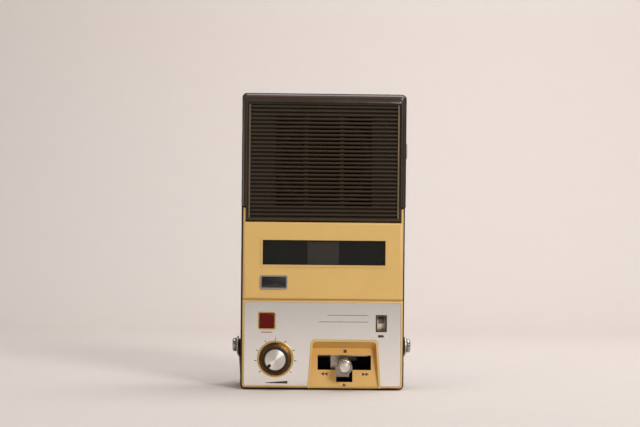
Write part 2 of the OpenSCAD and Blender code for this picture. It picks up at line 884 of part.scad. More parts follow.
module front_frame() {
  color("#d3ac67") {
    difference() {
      union() {
        difference() {
          frame_block();
          along_y(front_y - 1, web_y) translate([0, (panel_z + panel_top_z)/2])
            round_rect(panel_w, panel_top_z - panel_z, panel_r);
          slab(-moulding_w/2 + frame_wall, moulding_w/2 - frame_wall, web_back_y, rim_y,
               base_reveal + frame_wall, body_h);
          intersection() {
            along_y(front_y - 1, rim_y + 1) tray_outline(tray_wall/2);
            slab(-body_w, body_w, front_y - 1, rim_y + 1, panel_z, body_h);
          }
        }
        for (p = case_posts) if (p[1] < body_h/2)
          rod_y(post_r, web_back_y - web_t/2, post_front_y, p[0], p[1]);
      }
      screw_bores();
      rod_y(pot_bush_r + fit_gap, front_y, rim_y, knob_x, knob_z);
      along_y(front_y, rim_y) {
        record_opening();
        meter_opening(0);
      }
    }
    record_well();
    lever_tray();
  }
}
module control_panel() {
  color("#c8bfb3") difference() {
    along_y(panel_y, web_y) difference() {
      translate([0, (panel_z + panel_top_z)/2])
        round_rect(panel_w - 2*fit_gap, panel_top_z - panel_z - 2*fit_gap, panel_r);
      tray_outline(tray_wall + fit_gap);
      record_opening();
      meter_opening(0);
    }
    rod_y(pot_bush_r + fit_gap, front_y, rim_y, knob_x, knob_z);
  }
}

// Record button
module record_surround() {
  side = rec_size + 2*rec_border;
  color("#b88a4a") along_y(panel_y - rec_surround_t, panel_y) difference() {
    translate([rec_x, rec_z]) round_rect(side, side, rec_border);
    record_opening();
  }
}
module record_button() {
  cap_back_y = web_back_y + 1.5;
  plunger_end_y = board_y - rec_switch_d - rec_travel - 0.5;
  color("#5f1919") {
    translate([rec_x, 0, rec_z])
      soft_front_block(rec_size, panel_y - rec_proud, cap_back_y, -rec_size/2, rec_size/2, rec_edge_r);
    rod_y(rec_plunger_r, cap_back_y - 1, plunger_end_y, rec_x, rec_z);
  }
}
module record_spring() {
  seat_y = rec_well_back_y - rec_well_t;
  color("silver") difference() {
    rod_y(rec_spring_r, seat_y - rec_spring_l, seat_y, rec_x, rec_z);
    rod_y(rec_spring_bore, seat_y - rec_spring_l - 1, seat_y + 1, rec_x, rec_z);
  }
}

// Battery meter
module meter_bezel() {
  color("#3a3a3a") along_y(panel_y - meter_bezel_t, panel_y) difference() {
    translate([meter_x, meter_z]) round_rect(meter_w, meter_h, meter_border/2);
    meter_opening(0);
  }
}
module meter_lens() {
  color("white") along_y(panel_y, panel_y + meter_lens_t) meter_opening(fit_gap);
}
module meter_housing() {
  half_w = meter_case_w/2;
  half_h = meter_case_h/2;
  case_back_y = web_back_y + meter_case_d;
  color("#222222") translate([meter_x, 0, meter_z]) {
    difference() {
      slab(-half_w, half_w, web_back_y, case_back_y, -half_h, half_h);
      slab(-half_w + meter_case_t, half_w - meter_case_t, web_back_y - 1, case_back_y - meter_case_t,
           -half_h + meter_case_t, half_h - meter_case_t);
    }
    rod_x(drum_pin_r, -half_w + meter_case_t/2, half_w - meter_case_t/2, drum_y, 0);
  }
}
// Outline of a sector that opens towards -Y, between two angles above the level
module front_sector(r, low, high) {
  intersection() {
    circle(r);
    polygon([[0, 0], 2*r*[-cos(low), sin(low)], 2*r*[-cos((low + high)/2), sin((low + high)/2)],
             2*r*[-cos(high), sin(high)]]);
  }
}
module meter_drum() {
  color("#cbbba0") translate([meter_x, drum_y, meter_z]) along_x(-drum_w/2, drum_w/2) difference() {
    union() {
      front_sector(drum_r, -drum_half_angle, drum_half_angle);
      circle(drum_hub_r);
    }
    circle(drum_pin_r + bore_gap);
  }
}
module meter_flag() {
  color("#2a2826") translate([meter_x, drum_y, meter_z]) along_x(-flag_w/2, flag_w/2) difference() {
    front_sector(drum_r + flag_t, 0, drum_half_angle - 1);
    circle(drum_r);
  }
}

// Volume knob
module dial_ring() {
  color("#b88a4a") difference() {
    rod_y(knob_r + face_gap + ring_w, panel_y - ring_t, panel_y, knob_x, knob_z);
    rod_y(knob_r + face_gap, panel_y - ring_t - 1, panel_y + 1, knob_x, knob_z);
  }
}
module volume_knob() {
  base_y = panel_y - knob_base_gap;
  top_y = panel_y - knob_h;
  rim_r = cap_r + knob_lip;
  seat_r = cap_r + fit_gap;
  color("#3a2e22") {
    turned_y(knob_x, knob_z) polygon([
      [0, base_y], [knob_r, base_y], [knob_r, base_y - knob_foot], [rim_r + knob_lip/2, top_y + knob_lip],
      [rim_r, top_y], [seat_r, top_y], [seat_r, top_y + cap_t], [0, top_y + cap_t]
    ]);
    rod_y(pot_shaft_r, base_y - 1, web_back_y + pot_shaft_l, knob_x, knob_z);
  }
}
module knob_cap() {
  top_y = panel_y - knob_h;
  color("#d8d4cc") difference() {
    turned_y(knob_x, knob_z) polygon([
      [0, top_y - cap_dome], [cap_r - 2*cap_dome, top_y - 3/4*cap_dome], [cap_r, top_y],
      [cap_r, top_y + cap_t], [0, top_y + cap_t]
    ]);
    translate([knob_x, top_y, knob_z]) rotate([0, -rest_turn, 0]) translate([-cap_r, 0, 0])
      cube([notch_l, notch_d, notch_w], center = true);
  }
}
module volume_control() {
  color("#9a968c") difference() {
    union() {
      rod_y(pot_r, web_back_y, web_back_y + pot_l, knob_x, knob_z);
      rod_y(pot_bush_r, web_y - 0.5, web_back_y + 1, knob_x, knob_z);
    }
    rod_y(pot_shaft_r + bore_gap, front_y, web_back_y + pot_shaft_l + 1, knob_x, knob_z);
  }
}

// Lever: it turns on the cross shaft for one gate and slides along it for the other two
module in_lever_frame() {
  translate([lever_x, lever_axis_y, lever_axis_z]) rotate([lever_tilt, 0, 0]) children();
}
module lever_knob() {
  tip_y = -knob_start - lever_knob_l;
  face_r = lever_knob_r - knob_rim;
  color("#d6d6d4") in_lever_frame() difference() {
    turned_y(0, 0) polygon([
      [0, tip_y + knob_dish], [face_r, tip_y + knob_dish], [face_r, tip_y],
      [lever_knob_r - knob_edge, tip_y],
      [lever_knob_r, tip_y + knob_edge], [lever_knob_r, -knob_start], [0, -knob_start]
    ]);
    rod_y(stem_r + bore_gap, -knob_start - stem_in, -knob_start + 1, 0, 0);
  }
}
module lever_arm() {
  shield_y = -arm_reach + 1;
  shield_back_y = shield_y + shield_t;
  color("#c4c4c2") in_lever_frame() difference() {
    union() {
      rod_x(hub_r, -hub_w/2, hub_w/2, 0, 0);
      slab(-arm_w/2, arm_w/2, -arm_reach, 0, -arm_t/2, arm_t/2);
      rod_y(stem_r, -knob_start - stem_in + fit_gap, -arm_reach + 2, 0, 0);
      slab(-shield_w, arm_w/2, shield_y, shield_back_y, -shield_drop, shield_rise);
      slab(-shield_w, shield_tail, shield_y, shield_back_y, shield_rise - shield_bar, shield_rise);
      slab(-tongue_w, tongue_right, shield_y, shield_back_y, -tongue_drop, 0);
      slab(-shield_w, -shield_w + shield_t, shield_y - shield_lip, shield_back_y, -shield_drop, shield_rise);
    }
    rod_x(shaft_r + bore_gap, -hub_w, hub_w, 0, 0);
  }
}
module shift_collar(x0) {
  difference() {
    rod_x(collar_r, x0, x0 + collar_w, lever_axis_y, lever_axis_z);
    rod_x(shaft_r + bore_gap, x0 - 1, x0 + collar_w + 1, lever_axis_y, lever_axis_z);
  }
}
module rewind_collar() {
  color("#8f8b80") shift_collar(lever_x - hub_w/2 - face_gap - collar_w);
}
module forward_collar() {
  color("#8f8b80") shift_collar(lever_x + hub_w/2 + face_gap);
}
module lever_shaft() {
  color("silver") rod_x(shaft_r, bracket_x0, bracket_x1, lever_axis_y, lever_axis_z);
}
module lever_bracket() {
  low_z = lever_axis_z - bracket_half_h;
  high_z = lever_axis_z + bracket_half_h;
  color("#a9a9a4") difference() {
    union() {
      slab(bracket_x0, bracket_x1, bracket_back_y - bracket_t, bracket_back_y, low_z, high_z);
      for (x = [bracket_x0, bracket_x1 - bracket_t])
        slab(x, x + bracket_t, lever_axis_y - hub_r - 1, bracket_back_y, low_z, high_z);
    }
    rod_x(shaft_r + bore_gap, bracket_x0 - 1, bracket_x1 + 1, lever_axis_y, lever_axis_z);
  }
}

// Handle: a bent strap on two side pivots, with a grip on its crossbar
module in_handle_frame() {
  translate([0, 0, pivot_z]) rotate([handle_rest, 0, 0]) children();
}
module strap_half_outline() {
  outer_x = strap_in_x + strap_t;
  bend_x = outer_x - strap_corner_r;
  bend_z = -handle_reach - strap_t/2 + strap_corner_r;
  polygon([
    [strap_out_x, 0], [strap_out_x + strap_t, 0], [strap_out_x + strap_t, -joggle_start],
    [outer_x, -joggle_end], [outer_x, bend_z], [strap_in_x, bend_z], [strap_in_x, -joggle_end],
    [strap_out_x, -joggle_start]
  ]);
  intersection() {
    translate([bend_x, bend_z]) difference() {
      circle(strap_corner_r);
      circle(strap_corner_r - strap_t);
    }
    translate([bend_x, bend_z - strap_corner_r]) square(strap_corner_r);
  }
  translate([0, -handle_reach - strap_t/2]) square([bend_x, strap_t]);
}
module handle_strap() {
  eye_r = pivot_head_r + eye_margin;
  color("#cfcfcc") in_handle_frame() both_sides() difference() {
    union() {
      along_y(-strap_w/2, strap_w/2) strap_half_outline();
      rod_x(eye_r, strap_out_x, strap_out_x + strap_t, 0, 0);
    }
    rod_x(pivot_r + bore_gap, strap_out_x - 1, strap_out_x + strap_t + 1, 0, 0);
  }
}
module handle_grip() {
  color("#2b2724") in_handle_frame() translate([0, 0, -handle_reach]) difference() {
    along_x(-grip_l/2, grip_l/2) round_rect(grip_w, grip_h, grip_r);
    cube([grip_l + 2, strap_w + 2*fit_gap, strap_t + 2*fit_gap], center = true);
  }
}
module handle_pivots() {
  head_x = strap_out_x + strap_t + face_gap;
  color("#d6d6d4") both_sides() {
    rod_x(pivot_r, body_w/2 - wall - pivot_in, head_x + 0.5, 0, pivot_z);
    translate([head_x, 0, pivot_z]) rotate([0, 90, 0]) rotate_extrude() polygon([
      [0, 0], [pivot_head_r, 0], [pivot_head_r, pivot_head_t - pivot_edge],
      [pivot_head_r - pivot_edge, pivot_head_t], [0, pivot_head_t]
    ]);
  }
}
module handle_spacers() {
  color("#241f1b") both_sides() difference() {
    rod_x(pivot_head_r - spacer_inset, body_w/2, strap_out_x - face_gap, 0, pivot_z);
    rod_x(pivot_r + bore_gap, body_w/2 - 1, strap_out_x + 1, 0, pivot_z);
  }
}

// Jacks on the right side
module jack_plate() {
  color("#6b5a3c") difference() {
    along_x(body_w/2, body_w/2 + jack_plate_t) translate([jack_y, jack_z])
      round_rect(jack_plate_w, jack_plate_h, jack_plate_r);
    for (z = jack_heights) rod_x(jack_r, body_w/2 - 1, body_w, jack_y, z);
  }
}
module jack_sockets() {
  color("#a8a49a") for (z = jack_heights) difference() {
    rod_x(jack_barrel_r, body_w/2 - jack_l, body_w/2, jack_y, z);
    rod_x(jack_r, body_w/2 - jack_l + 1, body_w, jack_y, z);
  }
}

// Loudspeaker
module speaker_frame() {
  seat_y = flange_y + flange_t;
  color("#8d8d88") turned_y(0, sound_z) polygon([
    [basket_r, flange_y], [speaker_r, flange_y], [speaker_r, seat_y], [basket_r + basket_t, seat_y],
    [magnet_r, basket_back_y], [basket_bore_r, basket_back_y], [basket_bore_r, basket_back_y - basket_t],
    [magnet_r - basket_t, basket_back_y - basket_t], [basket_r, seat_y]
  ]);
}
module speaker_cone() {
  edge_r = basket_r - face_gap;
  edge_y = flange_y + cone_set;
  neck_y = basket_back_y - basket_t - cone_set;
  neck_r = magnet_r - neck_inset;
  bowl_y = neck_y - cone_t;
  color("#2b2824") turned_y(0, sound_z) polygon([
    [edge_r, edge_y], [edge_r, edge_y + cone_lip], [neck_r, neck_y], [0, neck_y],
    [0, bowl_y - dust_cap_h], [dust_cap_r/2, bowl_y - 3/4*dust_cap_h], [dust_cap_r, bowl_y],
    [neck_r - cone_t, bowl_y], [basket_r - rim_inset, edge_y]
  ]);
}
module speaker_magnet() {
  color("#5a5a58") {
    rod_y(basket_bore_r - fit_gap, basket_back_y - 1, basket_back_y + 1, 0, sound_z);
    rod_y(magnet_r, basket_back_y, basket_back_y + magnet_l, 0, sound_z);
  }
}

// Battery compartment behind the loudspeaker
module battery_tray() {
  color("#2e2925") translate([0, 0, battery_z]) difference() {
    slab(-tray_box_w/2, tray_box_w/2, tray_box_y, inner_back_y, -tray_box_h/2, tray_box_h/2);
    slab(-tray_box_w/2 + tray_box_t, tray_box_w/2 - tray_box_t, tray_box_y + tray_box_t, inner_back_y + 1,
         -tray_box_h/2 + tray_box_t, tray_box_h/2 - tray_box_t);
  }
}
module battery_contacts() {
  x1 = tray_box_w/2 - tray_box_t;
  x0 = cell_l + face_gap;
  y0 = cell_y - contact_d;
  color("#c8b46a") for (z = cell_heights) translate([0, 0, z]) both_sides()
    along_z(-contact_w/2, contact_w/2) {
      translate([x1 - contact_t, y0]) square([contact_t, 2*contact_d]);
      translate([x0, y0]) square([x1 - x0, contact_t]);
      translate([x0, y0]) square([contact_t, 2*contact_d - contact_slack]);
    }
}
module cell() {
  rod_x(cell_r, fit_gap, cell_l - nub_l, 0, 0);
  rod_x(nub_r, cell_l - nub_l - 0.5, cell_l - fit_gap, 0, 0);
}
module battery_cells() {
  color("#a83c2c") for (row = [0, 1], x = [-cell_l, 0])
    translate([0, cell_y, cell_heights[row]]) mirror([row, 0, 0]) translate([x, 0, 0]) cell();
}
module battery_door() {
  color("#3c322a") difference() {
    along_y(inner_back_y, back_y) translate([0, battery_z])
      round_rect(lid_w - 2*fit_gap, lid_h - 2*fit_gap, lid_r);
    rod_x(lid_grip_r, -lid_grip_l/2, lid_grip_l/2, back_y, battery_z + lid_h/2 - lid_grip_drop);
  }
}

// Tape deck
module cassette_well() {
  color("#1d1b18") difference() {
    slab(-well_w/2 - well_t, well_w/2 + well_t, well_front_y, deck_y,
         well_z - well_t, well_z + well_h + well_t);
    slab(-well_w/2, well_w/2, well_front_y - 1, deck_y + 1, well_z, well_z + well_h);
    slab(-well_w/2 + well_sill, well_w/2 - well_sill, well_front_y - 1, deck_y + 1,
         well_z - well_t - 1, well_z + 1);
    for (p = deck_posts)
      rod_y(screw_head_r + face_gap, deck_y - screw_head_t - face_gap, deck_y + 1, p[0], p[1]);
  }
}
module deck_plate() {
  color("#b3b3ae") difference() {
    union() {
      slab(-deck_w/2, deck_w/2, deck_y, deck_back_y, deck_z, deck_top_z);
      rod_y(deck_bush_r, deck_y - deck_bush_l, deck_back_y, capstan_x, capstan_z);
      rod_y(spindle_shaft_r, deck_y, drive_y + drive_t + 0.2, idler_x, idler_z);
    }
    for (x = [-spindle_pitch/2, spindle_pitch/2])
      rod_y(spindle_shaft_r + bore_gap, deck_y - 1, deck_back_y + 1, x, spindle_z);
    rod_y(capstan_r + bore_gap, deck_y - deck_bush_l - 1, deck_back_y + 1, capstan_x, capstan_z);
    for (p = deck_posts) rod_y(screw_r + face_gap, deck_y - 1, deck_back_y + 1, p[0], p[1]);
  }
}
module deck_screws() {
  color("silver") for (p = deck_posts) {
    rod_y(screw_r, deck_y - screw_head_t/2, deck_back_y + deck_screw_l, p[0], p[1]);
    rod_y(screw_head_r, deck_y - screw_head_t, deck_y, p[0], p[1]);
  }
}
module spindle(x, rear_r) {
  table_y = deck_y - face_gap - spindle_table_t;
  rod_y(spindle_table_r, table_y, deck_y - face_gap, x, spindle_z);
  neck_y = spindle_tip_y + spindle_tip_h;
  turned_y(x, spindle_z) polygon([
    [0, spindle_tip_y], [spindle_r/2, spindle_tip_y], [spindle_r, neck_y], [spindle_r, table_y + 0.5],
    [0, table_y + 0.5]
  ]);
  for (a = [0, 120, 240]) translate([x, 0, spindle_z]) rotate([0, a, 0])
    slab(0, spindle_r + spindle_fin, neck_y + 0.4, table_y + 0.5, -spindle_fin_t/2, spindle_fin_t/2);
  rod_y(spindle_shaft_r, table_y + 1, drive_y + drive_t, x, spindle_z);
  rod_y(rear_r, drive_y, drive_y + drive_t, x, spindle_z);
}
module supply_spindle() {
  color("#e4e0d6") spindle(-spindle_pitch/2, supply_hub_r);
}
module takeup_spindle() {
  color("#e4e0d6") spindle(spindle_pitch/2, takeup_wheel_r);
}
module capstan() {
  color("silver") rod_y(capstan_r, spindle_tip_y, bridge_y + bridge_t - face_gap, capstan_x, capstan_z);
}
module flywheel() {
  groove_r = flywheel_r - groove_d;
  groove_y = belt_y - face_gap;
  groove_back_y = belt_y + belt_w + face_gap;
  color("#8c8a80") difference() {
    union() {
      rod_y(capstan_hub_r, drive_y, flywheel_y + 1, capstan_x, capstan_z);
      turned_y(capstan_x, capstan_z) polygon([
        [0, flywheel_y], [flywheel_r, flywheel_y], [flywheel_r, groove_y], [groove_r, groove_y],
        [groove_r, groove_back_y], [flywheel_r, groove_back_y],
        [flywheel_r, flywheel_y + flywheel_t], [0, flywheel_y + flywheel_t]
      ]);
    }
    rod_y(capstan_r, drive_y - 1, flywheel_y + flywheel_t + 1, capstan_x, capstan_z);
  }
}
module flywheel_bridge() {
  color("#a9a9a4") difference() {
    union() {
      slab(capstan_x - bridge_reach - bridge_end, capstan_x + bridge_reach + bridge_end,
           bridge_y, bridge_y + bridge_t, capstan_z - bridge_half_h, capstan_z + bridge_half_h);
      for (s = [-1, 1]) rod_y(leg_r, deck_back_y, bridge_y + 0.5, capstan_x + s*bridge_reach, capstan_z);
    }
    rod_y(capstan_r + bore_gap, bridge_y - 1, bridge_y + bridge_t + 1, capstan_x, capstan_z);
  }
}
module idler_wheel() {
  color("#2b2b2b") difference() {
    rod_y(idler_r, drive_y, drive_y + drive_t, idler_x, idler_z);
    rod_y(spindle_shaft_r + bore_gap, drive_y - 1, drive_y + drive_t + 1, idler_x, idler_z);
  }
}
module motor_bracket() {
  half = motor_r + motor_margin;
  color("#a9a9a4") difference() {
    union() {
      slab(motor_x - half, motor_x + half, bracket_y, bracket_y + bridge_t, motor_z - half, motor_z + half);
      for (p = motor_legs) rod_y(leg_r, deck_back_y, bracket_y + 0.5, p[0], p[1]);
    }
    rod_y(motor_boss_r + face_gap, bracket_y - 1, bracket_y + bridge_t + 1, motor_x, motor_z);
  }
}
module drive_motor() {
  motor_y = bracket_y + bridge_t;
  color("#b9b9b4") difference() {
    union() {
      rod_y(motor_r, motor_y, motor_y + motor_l, motor_x, motor_z);
      rod_y(motor_boss_r, bracket_y, motor_y + 1, motor_x, motor_z);
    }
    rod_y(motor_shaft_r + bore_gap, bracket_y - 1, motor_y + motor_shaft_l + 1, motor_x, motor_z);
  }
}
module motor_pulley() {
  lip_r = pulley_r + pulley_lip;
  groove_y = belt_y - face_gap;
  groove_back_y = belt_y + belt_w + face_gap;
  end_y = bracket_y - face_gap;
  color("#c9a55a") {
    turned_y(motor_x, motor_z) polygon([
      [0, groove_y - 1.2], [lip_r, groove_y - 1.2], [lip_r, groove_y - 0.1], [pulley_r, groove_y],
      [pulley_r, groove_back_y], [lip_r, groove_back_y + 0.1], [lip_r, end_y], [0, end_y]
    ]);
    rod_y(motor_shaft_r, bracket_y - 1, bracket_y + bridge_t + motor_shaft_l, motor_x, motor_z);
  }
}
// Points of an arc about a centre
function arc(centre, r, from, to) =
  [for (i = [0 : belt_steps]) let (a = from + (to - from)*i/belt_steps) centre + r*[cos(a), sin(a)]];
// Outline that an open belt makes round the motor pulley and the flywheel
module belt_outline(r_small, r_big) {
  small = [motor_x, motor_z];
  big = [capstan_x, capstan_z];
  span = big - small;
  heading = atan2(span[1], span[0]);
  wrap = acos((r_big - r_small)/norm(span));
  polygon(concat(
    arc(big, r_big, heading - 180 + wrap, heading + 180 - wrap),
    arc(small, r_small, heading + 180 - wrap, heading + 180 + wrap)
  ));
}
module drive_belt() {
  small = pulley_r + face_gap;
  big = flywheel_r - groove_d + face_gap;
  color("#1f1f1f") along_y(belt_y, belt_y + belt_w) difference() {
    belt_outline(small + belt_t, big + belt_t);
    belt_outline(small, big);
  }
}
module head_plate() {
  color("#b3b3ae") {
    difference() {
      slab(head_plate_x0, head_plate_x1, head_plate_y, head_plate_y + head_plate_t,
           head_plate_z, head_top_z);
      slab(capstan_x - pinch_r, capstan_x + pinch_r, head_plate_y - 1, head_plate_y + head_plate_t + 1,
           pinch_rest_z + pinch_pin_r + 0.8, body_h);
    }
    rod_y(pinch_pin_r, head_front_y, head_plate_y + 0.5, capstan_x, pinch_rest_z);
  }
}
module tape_head(x, w) {
  shoulder_z = head_top_z - head_round;
  slab(x - w/2, x + w/2, head_front_y, head_plate_y, head_plate_z + 2, shoulder_z);
  along_y(head_front_y, head_plate_y) translate([x, shoulder_z]) intersection() {
    circle(head_round);
    translate([-w, -head_round/2]) square([2*w, 2*head_round]);
  }
}
module play_head() {
  color("#c4c4c2") tape_head(0, play_head_w);
}
module erase_head() {
  color("#4a4a48") tape_head(erase_head_x, erase_head_w);
}
module pinch_roller() {
  color("#262626") difference() {
    rod_y(pinch_r, head_front_y + 0.5, head_plate_y - face_gap, capstan_x, pinch_rest_z);
    rod_y(pinch_pin_r + bore_gap, head_front_y - 1, head_plate_y + 1, capstan_x, pinch_rest_z);
  }
}

// Circuit board with its larger components
module circuit_board() {
  foot_y = board_y + 0.1;
  top_z = board_z + board_h;
  can_side = can_size/2;
  color("#8a6b35") {
    difference() {
      slab(-board_w/2, board_w/2, board_y, board_y + board_t, board_z, top_z);
      for (p = bracket_posts) rod_y(board_post_r + 0.5, board_y - 1, board_y + board_t + 1, p[0], p[1]);
    }
    slab(rec_x - switch_half, rec_x + switch_half, board_y - rec_switch_d, foot_y,
         rec_z - switch_half, rec_z + switch_half);
    for (i = [0 : 3]) rod_y(cap_large_r, board_y - cap_large_h, foot_y, cap_large_x + i*12, top_z - 7);
    for (i = [0 : 2]) rod_y(cap_small_r, board_y - cap_small_h, foot_y, cap_small_x + i*9, board_z + 9);
    for (x = can_places)
      slab(x - can_side, x + can_side, board_y - can_h, foot_y, top_z - can_size - 2, top_z - 2);
  }
}

rear_case();
speaker_grille();
grille_trim();
cassette_door();
door_hinge_pins();
door_window();
door_leaf_spring();
door_plate();
front_frame();
control_panel();
record_surround();
record_button();
record_spring();
meter_bezel();
meter_lens();
meter_housing();
meter_drum();
meter_flag();
dial_ring();
volume_knob();
knob_cap();
volume_control();
lever_knob();
lever_arm();
lever_shaft();
rewind_collar();
forward_collar();
lever_bracket();
handle_strap();
handle_grip();
handle_pivots();
handle_spacers();
jack_plate();
jack_sockets();
speaker_frame();
speaker_cone();
speaker_magnet();
battery_tray();
battery_contacts();
battery_cells();
battery_door();
cassette_well();
deck_plate();
deck_screws();
supply_spindle();
takeup_spindle();
capstan();
flywheel();
flywheel_bridge();
idler_wheel();
motor_bracket();
drive_motor();
motor_pulley();
drive_belt();
head_plate();
play_head();
erase_head();
pinch_roller();
circuit_board();
case_fasteners();
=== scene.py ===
"""Looks of an upright portable cassette recorder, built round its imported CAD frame.

Lengths are in millimetres, unless a class says otherwise, and are turned into metres where a mesh is made.
The frame has +Z up, the front towards -Y and its origin at the middle of the base.
"""

from __future__ import annotations

import json
import logging
import math
from dataclasses import dataclass, replace
from enum import Enum
from typing import Callable, Sequence

import bmesh
import bpy
from mathutils import Matrix, Vector

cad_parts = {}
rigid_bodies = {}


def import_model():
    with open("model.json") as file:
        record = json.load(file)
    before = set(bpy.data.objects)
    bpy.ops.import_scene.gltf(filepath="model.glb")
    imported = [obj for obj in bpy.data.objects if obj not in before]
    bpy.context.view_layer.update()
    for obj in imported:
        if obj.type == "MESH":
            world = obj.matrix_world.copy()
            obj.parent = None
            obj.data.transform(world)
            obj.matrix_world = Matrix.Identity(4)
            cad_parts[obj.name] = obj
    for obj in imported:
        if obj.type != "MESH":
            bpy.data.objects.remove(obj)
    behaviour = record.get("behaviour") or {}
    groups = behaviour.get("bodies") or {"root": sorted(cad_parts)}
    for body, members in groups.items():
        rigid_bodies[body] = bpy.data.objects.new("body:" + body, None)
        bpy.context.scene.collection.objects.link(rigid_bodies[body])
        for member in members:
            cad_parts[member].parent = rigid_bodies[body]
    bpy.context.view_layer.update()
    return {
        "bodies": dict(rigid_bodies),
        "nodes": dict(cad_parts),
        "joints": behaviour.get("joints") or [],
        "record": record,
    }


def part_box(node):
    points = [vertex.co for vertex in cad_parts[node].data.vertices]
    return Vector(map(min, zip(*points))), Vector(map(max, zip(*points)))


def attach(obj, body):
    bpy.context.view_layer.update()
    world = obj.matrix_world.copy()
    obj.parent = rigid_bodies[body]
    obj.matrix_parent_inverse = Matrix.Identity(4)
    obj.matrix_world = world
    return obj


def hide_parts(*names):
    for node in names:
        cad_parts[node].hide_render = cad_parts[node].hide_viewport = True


LOG = logging.getLogger("recorder")
MM = 0.001

RGB = tuple[float, float, float]
Point2 = tuple[float, float]
Point3 = tuple[float, float, float]
Material = bpy.types.Material
Node = bpy.types.Node
Piece = bpy.types.Object
Socket = bpy.types.NodeSocket
Tree = bpy.types.NodeTree


def srgb(red: int, green: int, blue: int) -> RGB:
    """Turn an eight-bit colour into the linear one that shaders take.

    Args:
        red: Red from 0 to 255.
        green: Green from 0 to 255.
        blue: Blue from 0 to 255.

    Returns:
        The linear colour.
    """
    def linear(value: int) -> float:
        """Undo the display curve of one channel."""
        share = value / 255
        return share / 12.92 if share <= 0.04045 else ((share + 0.055) / 1.055) ** 2.4

    return linear(red), linear(green), linear(blue)


def rgba(colour: RGB, factor: float = 1.0) -> tuple[float, float, float, float]:
    """Give a colour, made darker or lighter by a factor, with full alpha."""
    return colour[0] * factor, colour[1] * factor, colour[2] * factor, 1.0


# Shader graphs


class Graph:
    """A shader tree with short calls for adding, setting and linking nodes."""

    def __init__(self, tree: Tree) -> None:
        """Keep the tree that the calls work on."""
        self.tree = tree

    def add(self, kind: str, **settings: object) -> Node:
        """Add a node.

        Args:
            kind: Type of the node without its ShaderNode prefix.
            settings: Attributes to set on the node.

        Returns:
            The new node.
        """
        node = self.tree.nodes.new("ShaderNode" + kind)
        for key, value in settings.items():
            setattr(node, key, value)
        return node

    def feed(self, node: Node, values: dict[str | int, object]) -> None:
        """Link outputs to a node's inputs, or set the inputs to constants.

        Args:
            node: The node that takes the values.
            values: An output or a constant for each input, by the input's name or number.
        """
        for key, value in values.items():
            if isinstance(value, Socket):
                self.tree.links.new(value, node.inputs[key])
            else:
                node.inputs[key].default_value = value

    def math(self, operation: str, first: object, second: object) -> Socket:
        """Add a Math node.

        Args:
            operation: Name of the operation.
            first: First operand.
            second: Second operand.

        Returns:
            Its output.
        """
        node = self.add("Math", operation=operation)
        self.feed(node, {0: first, 1: second})
        return node.outputs[0]

    def span(self, value: object, low: object, high: object, start: float = 0.0, end: float = 1.0) -> Socket:
        """Map a value from one range onto another, clamped.

        Args:
            value: The value.
            low: Value that gives the start.
            high: Value that gives the end.
            start: Start of the new range.
            end: End of the new range.

        Returns:
            The mapped value.
        """
        node = self.add("MapRange")
        self.feed(node, {0: value, 1: low, 2: high, 3: start, 4: end})
        return node.outputs[0]

    def blend(self, share: object, first: object, second: object) -> Socket:
        """Mix two colours.

        Args:
            share: Share of the second colour.
            first: First colour.
            second: Second colour.

        Returns:
            The mixed colour.
        """
        node = self.add("Mix", data_type="RGBA")
        self.feed(node, {0: share, 6: first, 7: second})
        return node.outputs[2]

    def noise(self, place: object, scale: object, detail: float = 2.0) -> Socket:
        """Add a noise texture.

        Args:
            place: Point that it is read at.
            scale: Waves per unit of length.
            detail: Number of finer layers.

        Returns:
            Its value.
        """
        node = self.add("TexNoise")
        self.feed(node, {"Vector": place, "Scale": scale, "Detail": detail})
        return node.outputs[0]

    def object_place(self) -> Socket:
        """Give the surface point in the object's own coordinates."""
        return self.add("TexCoord").outputs["Object"]

    def part(self, vector: Socket, axis: str) -> Socket:
        """Give one of a vector's coordinates.

        Args:
            vector: The vector.
            axis: Name of the coordinate.

        Returns:
            The coordinate.
        """
        split = self.add("SeparateXYZ")
        self.feed(split, {0: vector})
        return split.outputs[axis]


class Effect(Enum):
    """Surface effects that several finishes share, each one shader node group."""

    GRAIN = "Moulded grain"
    STREAKS = "Brushed streaks"
    SPECKS = "Worn specks"
    DUST = "Settled dust"
    # Painted shade on faces that lie further back.
    RECESS = "Shaded recess"


